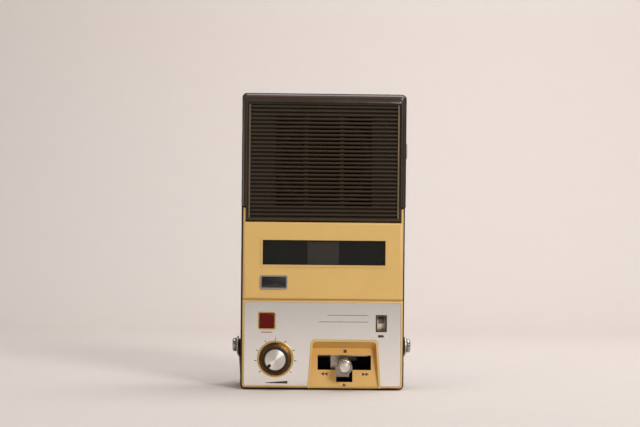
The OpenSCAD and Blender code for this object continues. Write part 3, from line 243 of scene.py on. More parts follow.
class EffectShop:
    """Builds each effect's node group once and places it in materials."""

    MOTTLE_EDGES = (0.3, 0.7)
    STREAK_EDGES = (0.25, 0.75)
    WORN_PER_METRE = 45.0
    WORN_EDGES = (0.52, 0.7)
    SPECK_RIM = 0.05
    DUST_PER_METRE = 140.0
    DUST_EDGES = (0.35, 0.7)
    DUST_LEAST = 0.2
    UPWARD_EDGES = (0.4, 1.0)

    def __init__(self) -> None:
        """Start with no group built."""
        self._groups: dict[Effect, Tree] = {}
        self._makers: dict[Effect, Callable[[Tree], None]] = {
            Effect.GRAIN: self._grain,
            Effect.STREAKS: self._streaks,
            Effect.SPECKS: self._specks,
            Effect.DUST: self._dust,
            Effect.RECESS: self._recess,
        }

    def place(self, graph: Graph, effect: Effect, **values: object) -> Node:
        """Place an effect in a material's graph.

        Args:
            graph: Graph of the material.
            effect: The effect to place.
            values: Values for the group's inputs; an underscore stands for a space.

        Returns:
            The group node.
        """
        if effect not in self._groups:
            tree = bpy.data.node_groups.new(effect.value, "ShaderNodeTree")
            self._makers[effect](tree)
            self._groups[effect] = tree
        node = graph.add("Group", node_tree=self._groups[effect])
        graph.feed(node, {name.replace("_", " "): value for name, value in values.items()})
        return node

    @staticmethod
    def _sockets(tree: Tree, inputs: dict[str, object], outputs: Sequence[str]) -> tuple[Graph, Node, Node]:
        """Give a group its sockets.

        Args:
            tree: The group.
            inputs: Default of each input by name; a tuple makes a vector input.
            outputs: Names of the value outputs.

        Returns:
            The group's graph, its input node and its output node.
        """
        for name, default in inputs.items():
            kind = "NodeSocketVector" if isinstance(default, tuple) else "NodeSocketFloat"
            tree.interface.new_socket(name, in_out="INPUT", socket_type=kind).default_value = default
        for name in outputs:
            tree.interface.new_socket(name, in_out="OUTPUT", socket_type="NodeSocketFloat")
        return Graph(tree), tree.nodes.new("NodeGroupInput"), tree.nodes.new("NodeGroupOutput")

    def _grain(self, tree: Tree) -> None:
        """Fill a group with fine moulded grain as a height and slow shading as a mottle.

        Args:
            tree: The group.
        """
        inputs = {"Grain per metre": 3000.0, "Mottle per metre": 40.0}
        graph, given, result = self._sockets(tree, inputs, ["Height", "Mottle"])
        place = graph.object_place()
        slow = graph.noise(place, given.outputs["Mottle per metre"], detail=4.0)
        graph.feed(result, {
            "Height": graph.noise(place, given.outputs["Grain per metre"]),
            "Mottle": graph.span(slow, *self.MOTTLE_EDGES),
        })

    def _streaks(self, tree: Tree) -> None:
        """Fill a group with fine lines, drawn out along the axis whose stretch is smallest.

        Args:
            tree: The group.
        """
        graph, given, result = self._sockets(tree, {"Stretch": (40.0, 5000.0, 5000.0)}, ["Streak"])
        mapping = graph.add("Mapping")
        graph.feed(mapping, {"Vector": graph.object_place(), "Scale": given.outputs["Stretch"]})
        lines = graph.noise(mapping.outputs[0], 1.0, detail=3.0)
        graph.feed(result, {"Streak": graph.span(lines, *self.STREAK_EDGES)})

    def _specks(self, tree: Tree) -> None:
        """Fill a group with sparse small marks where the surface has been knocked.

        Args:
            tree: The group.
        """
        graph, given, result = self._sockets(tree, {"Specks per metre": 220.0, "Amount": 0.1}, ["Mask"])
        place = graph.object_place()
        cells = graph.add("TexVoronoi")
        graph.feed(cells, {"Vector": place, "Scale": given.outputs["Specks per metre"]})
        patch = graph.span(graph.noise(place, self.WORN_PER_METRE, detail=3.0), *self.WORN_EDGES)
        reach = graph.math("MULTIPLY", patch, given.outputs["Amount"])
        near = graph.math("SUBTRACT", reach, cells.outputs["Distance"])
        graph.feed(result, {"Mask": graph.span(near, 0.0, self.SPECK_RIM)})

    def _dust(self, tree: Tree) -> None:
        """Fill a group with pale dust on faces that look up.

        Args:
            tree: The group.
        """
        graph, given, result = self._sockets(tree, {"Amount": 0.2}, ["Mask"])
        normal = graph.add("NewGeometry").outputs["Normal"]
        upward = graph.span(graph.part(normal, "Z"), *self.UPWARD_EDGES)
        cloud = graph.noise(graph.object_place(), self.DUST_PER_METRE, detail=5.0)
        cover = graph.math("MULTIPLY", upward, graph.span(cloud, *self.DUST_EDGES, self.DUST_LEAST, 1.0))
        graph.feed(result, {"Mask": graph.math("MULTIPLY", cover, given.outputs["Amount"])})

    def _recess(self, tree: Tree) -> None:
        """Fill a group with a mask for painted shade, which deepens from one depth behind the front to
        another.

        Args:
            tree: The group.
        """
        graph, given, result = self._sockets(tree, {"Start": -0.031, "End": -0.029}, ["Mask"])
        depth = graph.part(graph.object_place(), "Y")
        graph.feed(result, {"Mask": graph.span(depth, given.outputs["Start"], given.outputs["End"])})


EFFECTS = EffectShop()


# Finishes


def new_material(name: str) -> tuple[Material, Graph, Node]:
    """Make a material with an empty Principled shader.

    Args:
        name: Name of the material.

    Returns:
        The material, its graph and its Principled node.
    """
    material = bpy.data.materials.new(name)
    material.use_nodes = True
    return material, Graph(material.node_tree), material.node_tree.nodes["Principled BSDF"]


@dataclass(frozen=True)
class Moulded:
    """Moulded plastic, rubber or lacquer with grain, slow shading, wear and, where asked, painted shade in
    recesses.

    Attributes:
        colour: Linear base colour.
        roughness: Mean roughness.
        grain: Size of the grain.
        depth: Strength of the grain's bump.
        shade: How much darker the shading makes the colour.
        specks: Reach of worn specks, none at zero.
        speck_colour: Colour of the worn specks.
        dust: Strength of the dust on upward faces.
        specular: Specular level of the surface.
        coat: Weight of a clear coat.
        metallic: Weight of a metallic lacquer.
        recess: Depths between which a painted shade sets in, darkening faces that lie further back, none if
            empty.
        deep_colour: Colour of the painted shade in the depth, a dark shade of the base colour if not given.
    """

    colour: RGB
    roughness: float = 0.45
    grain: float = 0.35
    depth: float = 0.08
    shade: float = 0.12
    specks: float = 0.0
    speck_colour: RGB = (0.08, 0.05, 0.03)
    dust: float = 0.0
    specular: float = 0.5
    coat: float = 0.0
    metallic: float = 0.0
    recess: tuple[float, ...] = ()
    deep_colour: RGB | None = None

    # Share of the base colour kept in the painted shade of a recess.
    RECESS_SHADE = 0.22
    DUST_COLOUR = (0.45, 0.42, 0.38)
    ROUGHER, SMOOTHER = 0.06, -0.04
    BUMP_DISTANCE = 0.0001

    def make(self, name: str) -> Material:
        """Build the material.

        Args:
            name: Name of the material.

        Returns:
            The material.
        """
        material, graph, shader = new_material(name)
        grain = EFFECTS.place(graph, Effect.GRAIN, Grain_per_metre=1 / (self.grain * MM))
        mottle = grain.outputs["Mottle"]
        bump = graph.add("Bump")
        graph.feed(bump, {
            "Strength": self.depth, "Distance": self.BUMP_DISTANCE, "Height": grain.outputs["Height"],
        })
        graph.feed(shader, {
            "Base Color": self._colour(graph, mottle),
            "Roughness": graph.span(
                mottle, 0.0, 1.0, self.roughness + self.ROUGHER, self.roughness + self.SMOOTHER
            ),
            "Normal": bump.outputs[0],
            "Specular IOR Level": self.specular,
            "Coat Weight": self.coat,
            "Metallic": self.metallic,
        })
        return material

    def _colour(self, graph: Graph, mottle: Socket) -> Socket:
        """Lay shading, specks, dust and the painted shade of the depth over each other.

        Args:
            graph: Graph of the material.
            mottle: The slow shading.

        Returns:
            The colour.
        """
        colour = graph.blend(mottle, rgba(self.colour, 1 - self.shade), rgba(self.colour))
        if self.specks:
            worn = EFFECTS.place(graph, Effect.SPECKS, Amount=self.specks)
            colour = graph.blend(worn.outputs["Mask"], colour, rgba(self.speck_colour))
        if self.dust:
            dust = EFFECTS.place(graph, Effect.DUST, Amount=self.dust)
            colour = graph.blend(dust.outputs["Mask"], colour, rgba(self.DUST_COLOUR))
        # Painted shade: faces set back between the recess depths turn darker, standing in for shadow.
        if self.recess:
            start, end = (depth * MM for depth in self.recess)
            shade_mask = EFFECTS.place(graph, Effect.RECESS, Start=start, End=end)
            painted_shade = rgba(self.deep_colour) if self.deep_colour else rgba(self.colour, self.RECESS_SHADE)
            colour = graph.blend(shade_mask.outputs["Mask"], colour, painted_shade)
        return colour


class Brush(Enum):
    """Direction of the fine lines in a metal's finish, as stretch per metre along X, Y and Z."""

    ACROSS = (30.0, 4000.0, 4000.0)
    UP = (4000.0, 4000.0, 30.0)
    NONE = (900.0, 900.0, 900.0)


@dataclass(frozen=True)
class Metal:
    """Bare or plated metal with fine lines and slow smudges.

    Attributes:
        colour: Linear reflection colour.
        roughness: Mean roughness.
        brush: Direction of the fine lines.
        streak: Strength of the lines in colour and roughness.
        smudge: Strength of the slow smudges in colour and roughness.
        anisotropy: Stretch of the highlight round the object's own Y axis.
        turn: Turn of that stretch, in whole turns.
        grazing: Linear tint of the reflection at a flat angle.
    """

    colour: RGB
    roughness: float = 0.2
    brush: Brush = Brush.NONE
    streak: float = 0.08
    smudge: float = 0.06
    anisotropy: float = 0.0
    turn: float = 0.0
    grazing: RGB = (1.0, 1.0, 1.0)

    SMUDGES_PER_METRE = 60.0

    def make(self, name: str) -> Material:
        """Build the material.

        Args:
            name: Name of the material.

        Returns:
            The material.
        """
        material, graph, shader = new_material(name)
        lines = EFFECTS.place(graph, Effect.STREAKS, Stretch=self.brush.value).outputs["Streak"]
        grain = EFFECTS.place(graph, Effect.GRAIN, Mottle_per_metre=self.SMUDGES_PER_METRE)
        mottle = grain.outputs["Mottle"]
        worn = graph.blend(mottle, rgba(self.colour, 1 - self.smudge), rgba(self.colour))
        tone = graph.blend(lines, rgba(self.colour, 1 - self.streak), rgba(self.colour))
        half = self.streak / 2
        rough = graph.span(lines, 0.0, 1.0, self.roughness - half, self.roughness + half)
        graph.feed(shader, {
            "Base Color": graph.blend(0.5, tone, worn),
            "Roughness": graph.math("ADD", rough, graph.span(mottle, 0.0, 1.0, self.smudge, 0.0)),
            "Metallic": 1.0,
            "Specular Tint": rgba(self.grazing),
        })
        if self.anisotropy:
            tangent = graph.add("Tangent", direction_type="RADIAL", axis="Y")
            graph.feed(shader, {
                "Anisotropic": self.anisotropy,
                "Anisotropic Rotation": self.turn,
                "Tangent": tangent.outputs[0],
            })
        return material


@dataclass(frozen=True)
class Clear:
    """Clear or smoked plastic.

    Attributes:
        tint: Linear colour of the plastic.
        cover: Share of the light that the plastic stops.
        roughness: Mean roughness.
        specular: Specular level of the surface.
    """

    tint: RGB
    cover: float
    roughness: float = 0.05
    specular: float = 0.5

    CLOUDS_PER_METRE = 90.0
    CLOUD_SHADE = 0.96
    CLOUD_HAZE = 0.03
    IOR = 1.49

    def make(self, name: str) -> Material:
        """Build the material.

        Args:
            name: Name of the material.

        Returns:
            The material.
        """
        material, graph, shader = new_material(name)
        grain = EFFECTS.place(graph, Effect.GRAIN, Mottle_per_metre=self.CLOUDS_PER_METRE)
        mottle = grain.outputs["Mottle"]
        graph.feed(shader, {
            "Base Color": graph.blend(mottle, rgba(self.tint, self.CLOUD_SHADE), rgba(self.tint)),
            "Roughness": graph.span(mottle, 0.0, 1.0, self.roughness + self.CLOUD_HAZE, self.roughness),
            "Transmission Weight": 0.0,
            "Alpha": self.cover,
            "IOR": self.IOR,
            "Specular IOR Level": self.specular,
        })
        return material


class Coat(Enum):
    """The finishes of the recorder's own pieces."""

    CASE = Moulded(
        srgb(54, 42, 31), roughness=0.52, grain=0.3, depth=0.12, shade=0.14, dust=0.05, specular=0.28
    )
    # Painted shade: the rib flanks and the web behind the ribs darken with depth.
    GRILLE = Moulded(
        srgb(58, 44, 28), roughness=0.28, grain=0.4, depth=0.04, shade=0.14, dust=0.06, specular=0.5,
        recess=(-30.9, -29.7),
    )
    YELLOW = Moulded(
        srgb(210, 173, 104), roughness=0.4, grain=0.5, depth=0.04, shade=0.05, specks=0.16,
        speck_colour=srgb(150, 112, 58), specular=0.4,
    )
    # Painted shade: the lever tray's deeper faces turn a darker orange.
    FRAME = replace(YELLOW, recess=(-31.9, -22.0), deep_colour=srgb(206, 144, 54))
    # Painted shade: the border's outer flange and grooves, lying back from its front, darken.
    MOULDING = Moulded(
        srgb(52, 34, 17), roughness=0.22, grain=0.4, depth=0.02, shade=0.12, dust=0.04, specular=0.85,
        recess=(-32.0, -31.62),
    )
    TRIM = Metal(srgb(150, 134, 106), roughness=0.3)
    PANEL = Metal(srgb(253, 250, 246), roughness=0.2, brush=Brush.ACROSS, streak=0.015, smudge=0.02)
    GILT = Metal(srgb(224, 184, 104), roughness=0.24)
    RED = Moulded(srgb(92, 12, 14), roughness=0.3, depth=0.02, shade=0.2, specular=0.18)
    CHROME = Metal(srgb(216, 211, 204), roughness=0.14, streak=0.04)
    PIVOT = Metal(srgb(168, 161, 153), roughness=0.2, streak=0.05)
    LEVER = Metal(srgb(170, 163, 155), roughness=0.24, streak=0.06)
    BEZEL = Metal(srgb(96, 88, 78), roughness=0.34, streak=0.05)
    DECK = Moulded(srgb(62, 60, 57), roughness=0.4, grain=0.4, metallic=0.6)
    SATIN = Metal(srgb(232, 226, 217), roughness=0.38, streak=0.1, anisotropy=0.7, turn=0.25)
    STEEL = Metal(srgb(168, 165, 158), roughness=0.36, brush=Brush.ACROSS)
    STRAP = Metal(srgb(196, 190, 182), roughness=0.42, brush=Brush.UP)
    SPRING = Metal(srgb(176, 172, 164), roughness=0.3, brush=Brush.UP)
    LEAF = Moulded(srgb(216, 197, 186), roughness=0.55, depth=0.02)
    KNOB_SKIRT = Metal(
        srgb(100, 74, 40), roughness=0.42, smudge=0.1, anisotropy=0.8, grazing=(0.7, 0.57, 0.42)
    )
    KNOB_CROWN = Moulded(srgb(54, 40, 28), roughness=0.46, depth=0.04, dust=0.04, specular=0.2)
    BLACK = Moulded(srgb(30, 28, 27), roughness=0.5, grain=0.3, specular=0.3)
    ENAMEL = Moulded(srgb(24, 24, 24), roughness=0.2, depth=0.02, coat=0.2)
    GRIP = Moulded(srgb(34, 30, 27), roughness=0.56, grain=0.7, depth=0.3, specular=0.3)
    SMOKED = Clear(srgb(36, 36, 33), cover=0.56, specular=0.4)
    LENS = Clear((0.1, 0.1, 0.1), cover=0.05, specular=0.15)
    CREAM = Moulded(srgb(240, 232, 216), roughness=0.5, depth=0.02)
    FLAG = Moulded(srgb(104, 80, 70), roughness=0.5, depth=0.02)
    IVORY = Moulded(srgb(226, 219, 200), roughness=0.4, depth=0.03)
    BRASS = Metal(srgb(206, 170, 98), roughness=0.3)
    RUBBER = Moulded(srgb(34, 33, 32), roughness=0.74, grain=0.25, specular=0.3)
    PAPER = Moulded(srgb(30, 28, 26), roughness=0.9, grain=0.4, depth=0.4, specular=0.2)
    BOARD = Moulded(srgb(138, 104, 50), roughness=0.5, grain=0.6)
    JACKET = Moulded(srgb(150, 56, 40), roughness=0.34, depth=0.02, metallic=0.3)
    INK = Moulded(srgb(52, 44, 38), roughness=0.6, depth=0.02)
    GREY_INK = Moulded(srgb(104, 96, 88), roughness=0.6, depth=0.02)
    RED_INK = Moulded(srgb(150, 66, 56), roughness=0.6, depth=0.02)


# Outlines and places


@dataclass(frozen=True)
class RoundRect:
    """Rectangle with round corners.

    Attributes:
        width: Width.
        height: Height.
        radius: Corner radius.
        centre: Place of the middle.
    """

    width: float
    height: float
    radius: float
    centre: Point2 = (0.0, 0.0)

    CORNER_STEPS = 6
    LEAST_RADIUS = 0.02

    def points(self, inset: float) -> list[Point2]:
        """Give the outline, drawn in by an inset.

        Args:
            inset: Distance that every side moves in.

        Returns:
            The outline's points, anticlockwise.
        """
        radius = max(self.radius - inset, self.LEAST_RADIUS)
        x, y = self.width / 2 - inset - radius, self.height / 2 - inset - radius
        result: list[Point2] = []
        for quarter, (side, end) in enumerate(((x, y), (-x, y), (-x, -y), (x, -y))):
            for i in range(self.CORNER_STEPS + 1):
                angle = math.pi / 2 * (quarter + i / self.CORNER_STEPS)
                result.append((
                    self.centre[0] + side + radius * math.cos(angle),
                    self.centre[1] + end + radius * math.sin(angle),
                ))
        return result


@dataclass(frozen=True)
class Corners:
    """Convex outline given by its corners, anticlockwise."""

    corners: tuple[Point2, ...]

    SHARPEST = 0.2

    def points(self, inset: float) -> list[Point2]:
        """Give the outline, drawn in by an inset.

        Args:
            inset: Distance that every side moves in.

        Returns:
            The outline's points, anticlockwise.
        """
        result: list[Point2] = []
        count = len(self.corners)
        for i in range(count):
            before, here, after = (Vector(self.corners[(i + k) % count]) for k in (-1, 0, 1))
            first, second = (here - before).normalized(), (after - here).normalized()
            left = Vector((-first.y, first.x)) + Vector((-second.y, second.x))
            moved = here + left * (inset / max(self.SHARPEST, left.length_squared / 2))
            result.append((moved.x, moved.y))
        return result


Shape = RoundRect | Corners


@dataclass(frozen=True)
class Facing:
    """A flat place on the object.

    Attributes:
        origin: A point on it.
        right: Direction to its right, seen from outside.
        up: Direction upwards on it.
    """

    origin: Point3
    right: Point3 = (1.0, 0.0, 0.0)
    up: Point3 = (0.0, 0.0, 1.0)

    def matrix(self) -> Matrix:
        """Give the placing whose local X is right, local Z is up and local -Y is outward.

        Returns:
            The placing in metres.
        """
        right, up = Vector(self.right).normalized(), Vector(self.up).normalized()
        turn = Matrix((right, up.cross(right), up)).transposed().to_4x4()
        return Matrix.Translation(Vector(self.origin) * MM) @ turn


class Workshop:
    """Dresses CAD nodes and makes new pieces on the frame's bodies."""

    SHARP = math.radians(32)
    WELD_DISTANCE = 1e-6
    DOUBLE_DISTANCE = 1e-7
    BEVEL_SEGMENTS = 2
    EDGE_KNEE = 0.3
    LEAST_RADIUS = 1e-4

    def __init__(self, frame: dict) -> None:
        """Keep the frame's nodes and start with no material made."""
        self.nodes: dict[str, Piece] = frame["nodes"]
        self._materials: dict[Coat, Material] = {}

    def material(self, coat: Coat) -> Material:
        """Give the material of a coat, made at its first use.

        Args:
            coat: The coat.

        Returns:
            Its material.
        """
        if coat not in self._materials:
            self._materials[coat] = coat.value.make(coat.name.lower())
        return self._materials[coat]

    def dress(self, coat: Coat, *nodes: str, edge: float = 0.0) -> None:
        """Give CAD nodes a coat and, if asked, softened edges.

        Args:
            coat: The coat.
            nodes: Names of the nodes.
            edge: Width of the softened edges, none at zero.
        """
        for name in nodes:
            node = self.nodes[name]
            node.data.materials.clear()
            node.data.materials.append(self.material(coat))
            if edge:
                self._soften(node, edge)
            LOG.info("dressed %s in %s", name, coat.name.lower())

    def _soften(self, piece: Piece, edge: float) -> None:
        """Join a mesh's shared points and round its sharp edges with modifiers.

        Args:
            piece: Object that gets the modifiers.
            edge: Width of the rounding.
        """
        piece.modifiers.new("join", "WELD").merge_threshold = self.WELD_DISTANCE
        bevel = piece.modifiers.new("edges", "BEVEL")
        bevel.width = edge * MM
        bevel.segments = self.BEVEL_SEGMENTS
        bevel.limit_method = "ANGLE"
        bevel.angle_limit = self.SHARP
        bevel.use_clamp_overlap = True
        bevel.harden_normals = True

    def _piece(
        self, name: str, facing: Facing, lofts: Sequence[list[list[Vector]]], coat: Coat, body: str
    ) -> Piece:
        """Make one mesh of closed lofts and put it on a body.

        Args:
            name: Name of the piece.
            facing: Place that the lofts are measured from.
            lofts: For each closed solid its rings of equal length, in the place's own metres.
            coat: Finish of the piece.
            body: Body that it rides on.

        Returns:
            The new object.
        """
        points: list[Vector] = []
        faces: list[tuple[int, ...]] = []
        for rings in lofts:
            first, count = len(points), len(rings[0])
            points.extend(point for ring in rings for point in ring)
            for low in range(first, len(points) - count, count):
                for i in range(count):
                    j = (i + 1) % count
                    faces.append((low + i, low + j, low + count + j, low + count + i))
            faces.append(tuple(range(first, first + count))[::-1])
            faces.append(tuple(range(len(points) - count, len(points))))
        mesh = bpy.data.meshes.new(name)
        mesh.from_pydata(points, [], faces)
        self._shade(mesh)
        piece = bpy.data.objects.new(name, mesh)
        bpy.context.scene.collection.objects.link(piece)
        piece.matrix_world = facing.matrix()
        mesh.materials.append(self.material(coat))
        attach(piece, body)
        LOG.info("made %s on %s", name, body)
        return piece

    def _shade(self, mesh: bpy.types.Mesh) -> None:
        """Clean a mesh, point its faces outwards and shade it smooth but for sharp edges.

        Args:
            mesh: The mesh.
        """
        work = bmesh.new()
        work.from_mesh(mesh)
        bmesh.ops.remove_doubles(work, verts=work.verts, dist=self.DOUBLE_DISTANCE)
        bmesh.ops.recalc_face_normals(work, faces=work.faces)
        for face in work.faces:
            face.smooth = True
        for edge in work.edges:
            edge.smooth = len(edge.link_faces) == 2 and edge.calc_face_angle(0.0) < self.SHARP
        work.to_mesh(mesh)
        work.free()

    def plate(
        self, name: str, facing: Facing, shapes: Sequence[Shape], low: float, high: float, coat: Coat,
        body: str, slot: str, edge: float = 0.0,
    ) -> Piece:
        """Make a flat piece, or several that lie on one place, with rounded front edges.

        Args:
            name: Name of the piece.
            facing: Place that it lies on.
            shapes: Its outlines.
            low: Height of its back above the place.
            high: Height of its front above the place.
            coat: Finish of the piece.
            body: Body that it rides on.
            slot: Material slot of the record; not used.
            edge: Rounding of its front edges.

        Returns:
            The new object.
        """
        levels = [(0.0, low), (0.0, high)]
        if edge:
            knee = self.EDGE_KNEE * edge
            levels = [(0.0, low), (0.0, high - edge), (knee, high - knee), (edge, high)]
        lofts = [
            [[Vector((x, -lift, z)) * MM for x, z in shape.points(inset)] for inset, lift in levels]
            for shape in shapes
        ]
        return self._piece(name, facing, lofts, coat, body)

    def swept(
        self, name: str, lines: Sequence[Sequence[Point3]], coat: Coat, body: str
    ) -> Piece:
        """Make a piece whose cross-section runs along several lines of equally many points.

        Args:
            name: Name of the piece.
            lines: The way of each corner of the cross-section, in the frame's millimetres.
            coat: Finish of the piece.
            body: Body that it rides on.

        Returns:
            The new object.
        """
        rings = [[Vector(point) * MM for point in ring] for ring in zip(*lines)]
        return self._piece(name, Facing((0.0, 0.0, 0.0)), [rings], coat, body)

    def turned(
        self, name: str, facing: Facing, profile: Sequence[Point2], coat: Coat, body: str,
        change: Callable[[int, float, float], Point2] | None = None, steps: int = 120,
    ) -> Piece:
        """Make a turned piece about the place's outward axis.

        Args:
            name: Name of the piece.
            facing: Place on whose axis it turns.
            profile: Radius and height of each ring, from back to front.
            coat: Finish of the piece.
            body: Body that it rides on.
            change: Gives the radius and height to add from the step, radius and height.
            steps: Steps round the axis.

        Returns:
            The new object.
        """
        rings = []
        for radius, lift in profile:
            ring = []
            for i in range(steps):
                wider, higher = change(i, radius, lift) if change else (0.0, 0.0)
                angle = math.tau * i / steps
                reach = max(radius + wider, self.LEAST_RADIUS)
                point = Vector((reach * math.cos(angle), -lift - higher, reach * math.sin(angle)))
                ring.append(point * MM)
            rings.append(ring)
        return self._piece(name, facing, [rings], coat, body)


# Sub-assemblies


@dataclass(frozen=True)
class Dressing:
    """CAD nodes that share a coat.

    Attributes:
        coat: Their finish.
        nodes: Their names.
        edge: Width of their softened edges, none at zero.
    """

    coat: Coat
    nodes: tuple[str, ...]
    edge: float = 0.0


@dataclass(frozen=True)
class Assembly:
    """A sub-assembly of the recorder.

    Attributes:
        coats: What its CAD nodes are dressed in.
    """

    coats: tuple[Dressing, ...] = ()

    def dress(self, shop: Workshop) -> None:
        """Give the CAD nodes their coats and soft edges."""
        for row in self.coats:
            shop.dress(row.coat, *row.nodes, edge=row.edge)

    def build(self, shop: Workshop) -> None:
        """Make the pieces that the CAD nodes lack, none unless a class says so."""


@dataclass(frozen=True)
class Case(Assembly):
    """The rear shell and the long screws that hold it."""

    coats: tuple[Dressing, ...] = (
        Dressing(Coat.CASE, ("rear_case",), 0.7),
        Dressing(Coat.STEEL, ("case_fasteners",)),
    )


@dataclass(frozen=True)
class SpeakerGrille(Assembly):
    """The ribbed grille with its moulded border, its trim bars and the loudspeaker behind it.

    Attributes:
        half_width: Half the width of the case.
        top: Height of the case.
        foot: Height at which the border's legs end, above the door's ears.
        corner_steps: Steps round each corner of the border.
        profile: Points across the border from outside to inside: distance from the case's side and depth
            there, distance from the case's top and depth there, and corner radius.
    """

    coats: tuple[Dressing, ...] = (
        Dressing(Coat.GRILLE, ("speaker_grille",), 0.3),
        Dressing(Coat.TRIM, ("grille_trim",)),
        Dressing(Coat.STEEL, ("speaker_magnet",)),
        Dressing(Coat.BLACK, ("speaker_frame",)),
        Dressing(Coat.PAPER, ("speaker_cone",)),
    )
    half_width: float = 66.5
    top: float = 240.0
    foot: float = 148.6
    corner_steps: int = 6
    profile: tuple[tuple[float, float, float, float, float], ...] = (
        (0.05, -29.6, 0.05, -29.6, 3.9), (0.05, -31.45, 0.05, -31.45, 3.9),
        (0.2, -31.6, 0.2, -31.6, 3.8), (0.72, -31.62, 0.72, -31.62, 3.4),
        (0.78, -31.67, 0.78, -31.68, 3.35), (1.66, -32.41, 1.92, -32.72, 2.9),
        (1.72, -32.46, 1.98, -32.77, 2.8), (1.92, -32.52, 2.2, -32.82, 2.7),
        (2.05, -32.4, 2.45, -32.74, 2.6), (2.14, -31.64, 2.7, -32.5, 2.5),
        (2.8, -31.64, 3.0, -32.36, 2.2), (3.0, -32.15, 3.4, -32.28, 1.9),
        (3.25, -32.28, 4.2, -32.26, 1.7), (4.0, -32.28, 6.3, -32.24, 1.2),
        (4.2, -32.2, 6.6, -32.44, 1.0), (4.34, -32.0, 7.2, -32.48, 0.8),
        (4.4, -31.7, 7.42, -32.2, 0.7), (4.42, -31.56, 7.5, -31.6, 0.6),
        (4.44, -31.54, 8.95, -31.56, 0.3), (4.44, -31.2, 8.95, -31.2, 0.3),
    )

    def build(self, shop: Workshop) -> None:
        """Sweep the border's profile up one side, across the top and down the other side."""
        lines = [self._line(*point) for point in self.profile]
        shop.swept("grille_moulding", lines, Coat.MOULDING, "root")

    def _line(self, side: float, side_y: float, drop: float, drop_y: float, radius: float) -> list[Point3]:
        """Give the way of one profile point round the border.

        Args:
            side: Distance from the case's side.
            side_y: Depth at the sides.
            drop: Distance from the case's top.
            drop_y: Depth at the top.
            radius: Corner radius.

        Returns:
            The points from the left leg's foot to the right leg's foot.
        """
        x, z = self.half_width - side, self.top - drop
        left: list[Point3] = [(-x, side_y, self.foot)]
        for i in range(self.corner_steps + 1):
            share = i / self.corner_steps
            angle = math.pi / 2 * share
            left.append((
                -x + radius * (1 - math.cos(angle)), side_y + (drop_y - side_y) * share,
                z - radius * (1 - math.sin(angle)),
            ))
        return [*left, *((-px, py, pz) for px, py, pz in reversed(left))]


@dataclass(frozen=True)
class CassetteDoor(Assembly):
    """The yellow door with its smoked window and bare plate.

    Attributes:
        field_inset: Width of the plate's rim round its dark field.
        field_radius: Corner radius of the field.
        field_low: Height of the field's back above the plate's front.
        field_high: Height of the field's front above the plate's front.
        field_edge: Rounding of the field's edges.
    """

    coats: tuple[Dressing, ...] = (
        Dressing(Coat.YELLOW, ("cassette_door",), 0.45),
        Dressing(Coat.SMOKED, ("door_window",), 0.2),
        Dressing(Coat.CHROME, ("door_plate",), 0.15),
        Dressing(Coat.LEAF, ("door_leaf_spring",)),
        Dressing(Coat.STEEL, ("door_hinge_pins",)),
    )
    field_inset: float = 1.1
    field_radius: float = 0.6
    field_low: float = -0.7
    field_high: float = -0.3
    field_edge: float = 0.1

    def build(self, shop: Workshop) -> None:
        """Lay the dark field into the plate's recess.

        Args:
            shop: Workshop that makes the field.
        """
        low, high = (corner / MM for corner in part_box("door_plate"))
        middle, size = (low + high) / 2, high - low
        rim = 2 * self.field_inset
        shop.plate(
            "plate_field", Facing((middle.x, low.y, middle.z)),
            [RoundRect(size.x - rim, size.z - rim, self.field_radius)], self.field_low, self.field_high,
            Coat.ENAMEL, "door", "black_plastic", self.field_edge,
        )


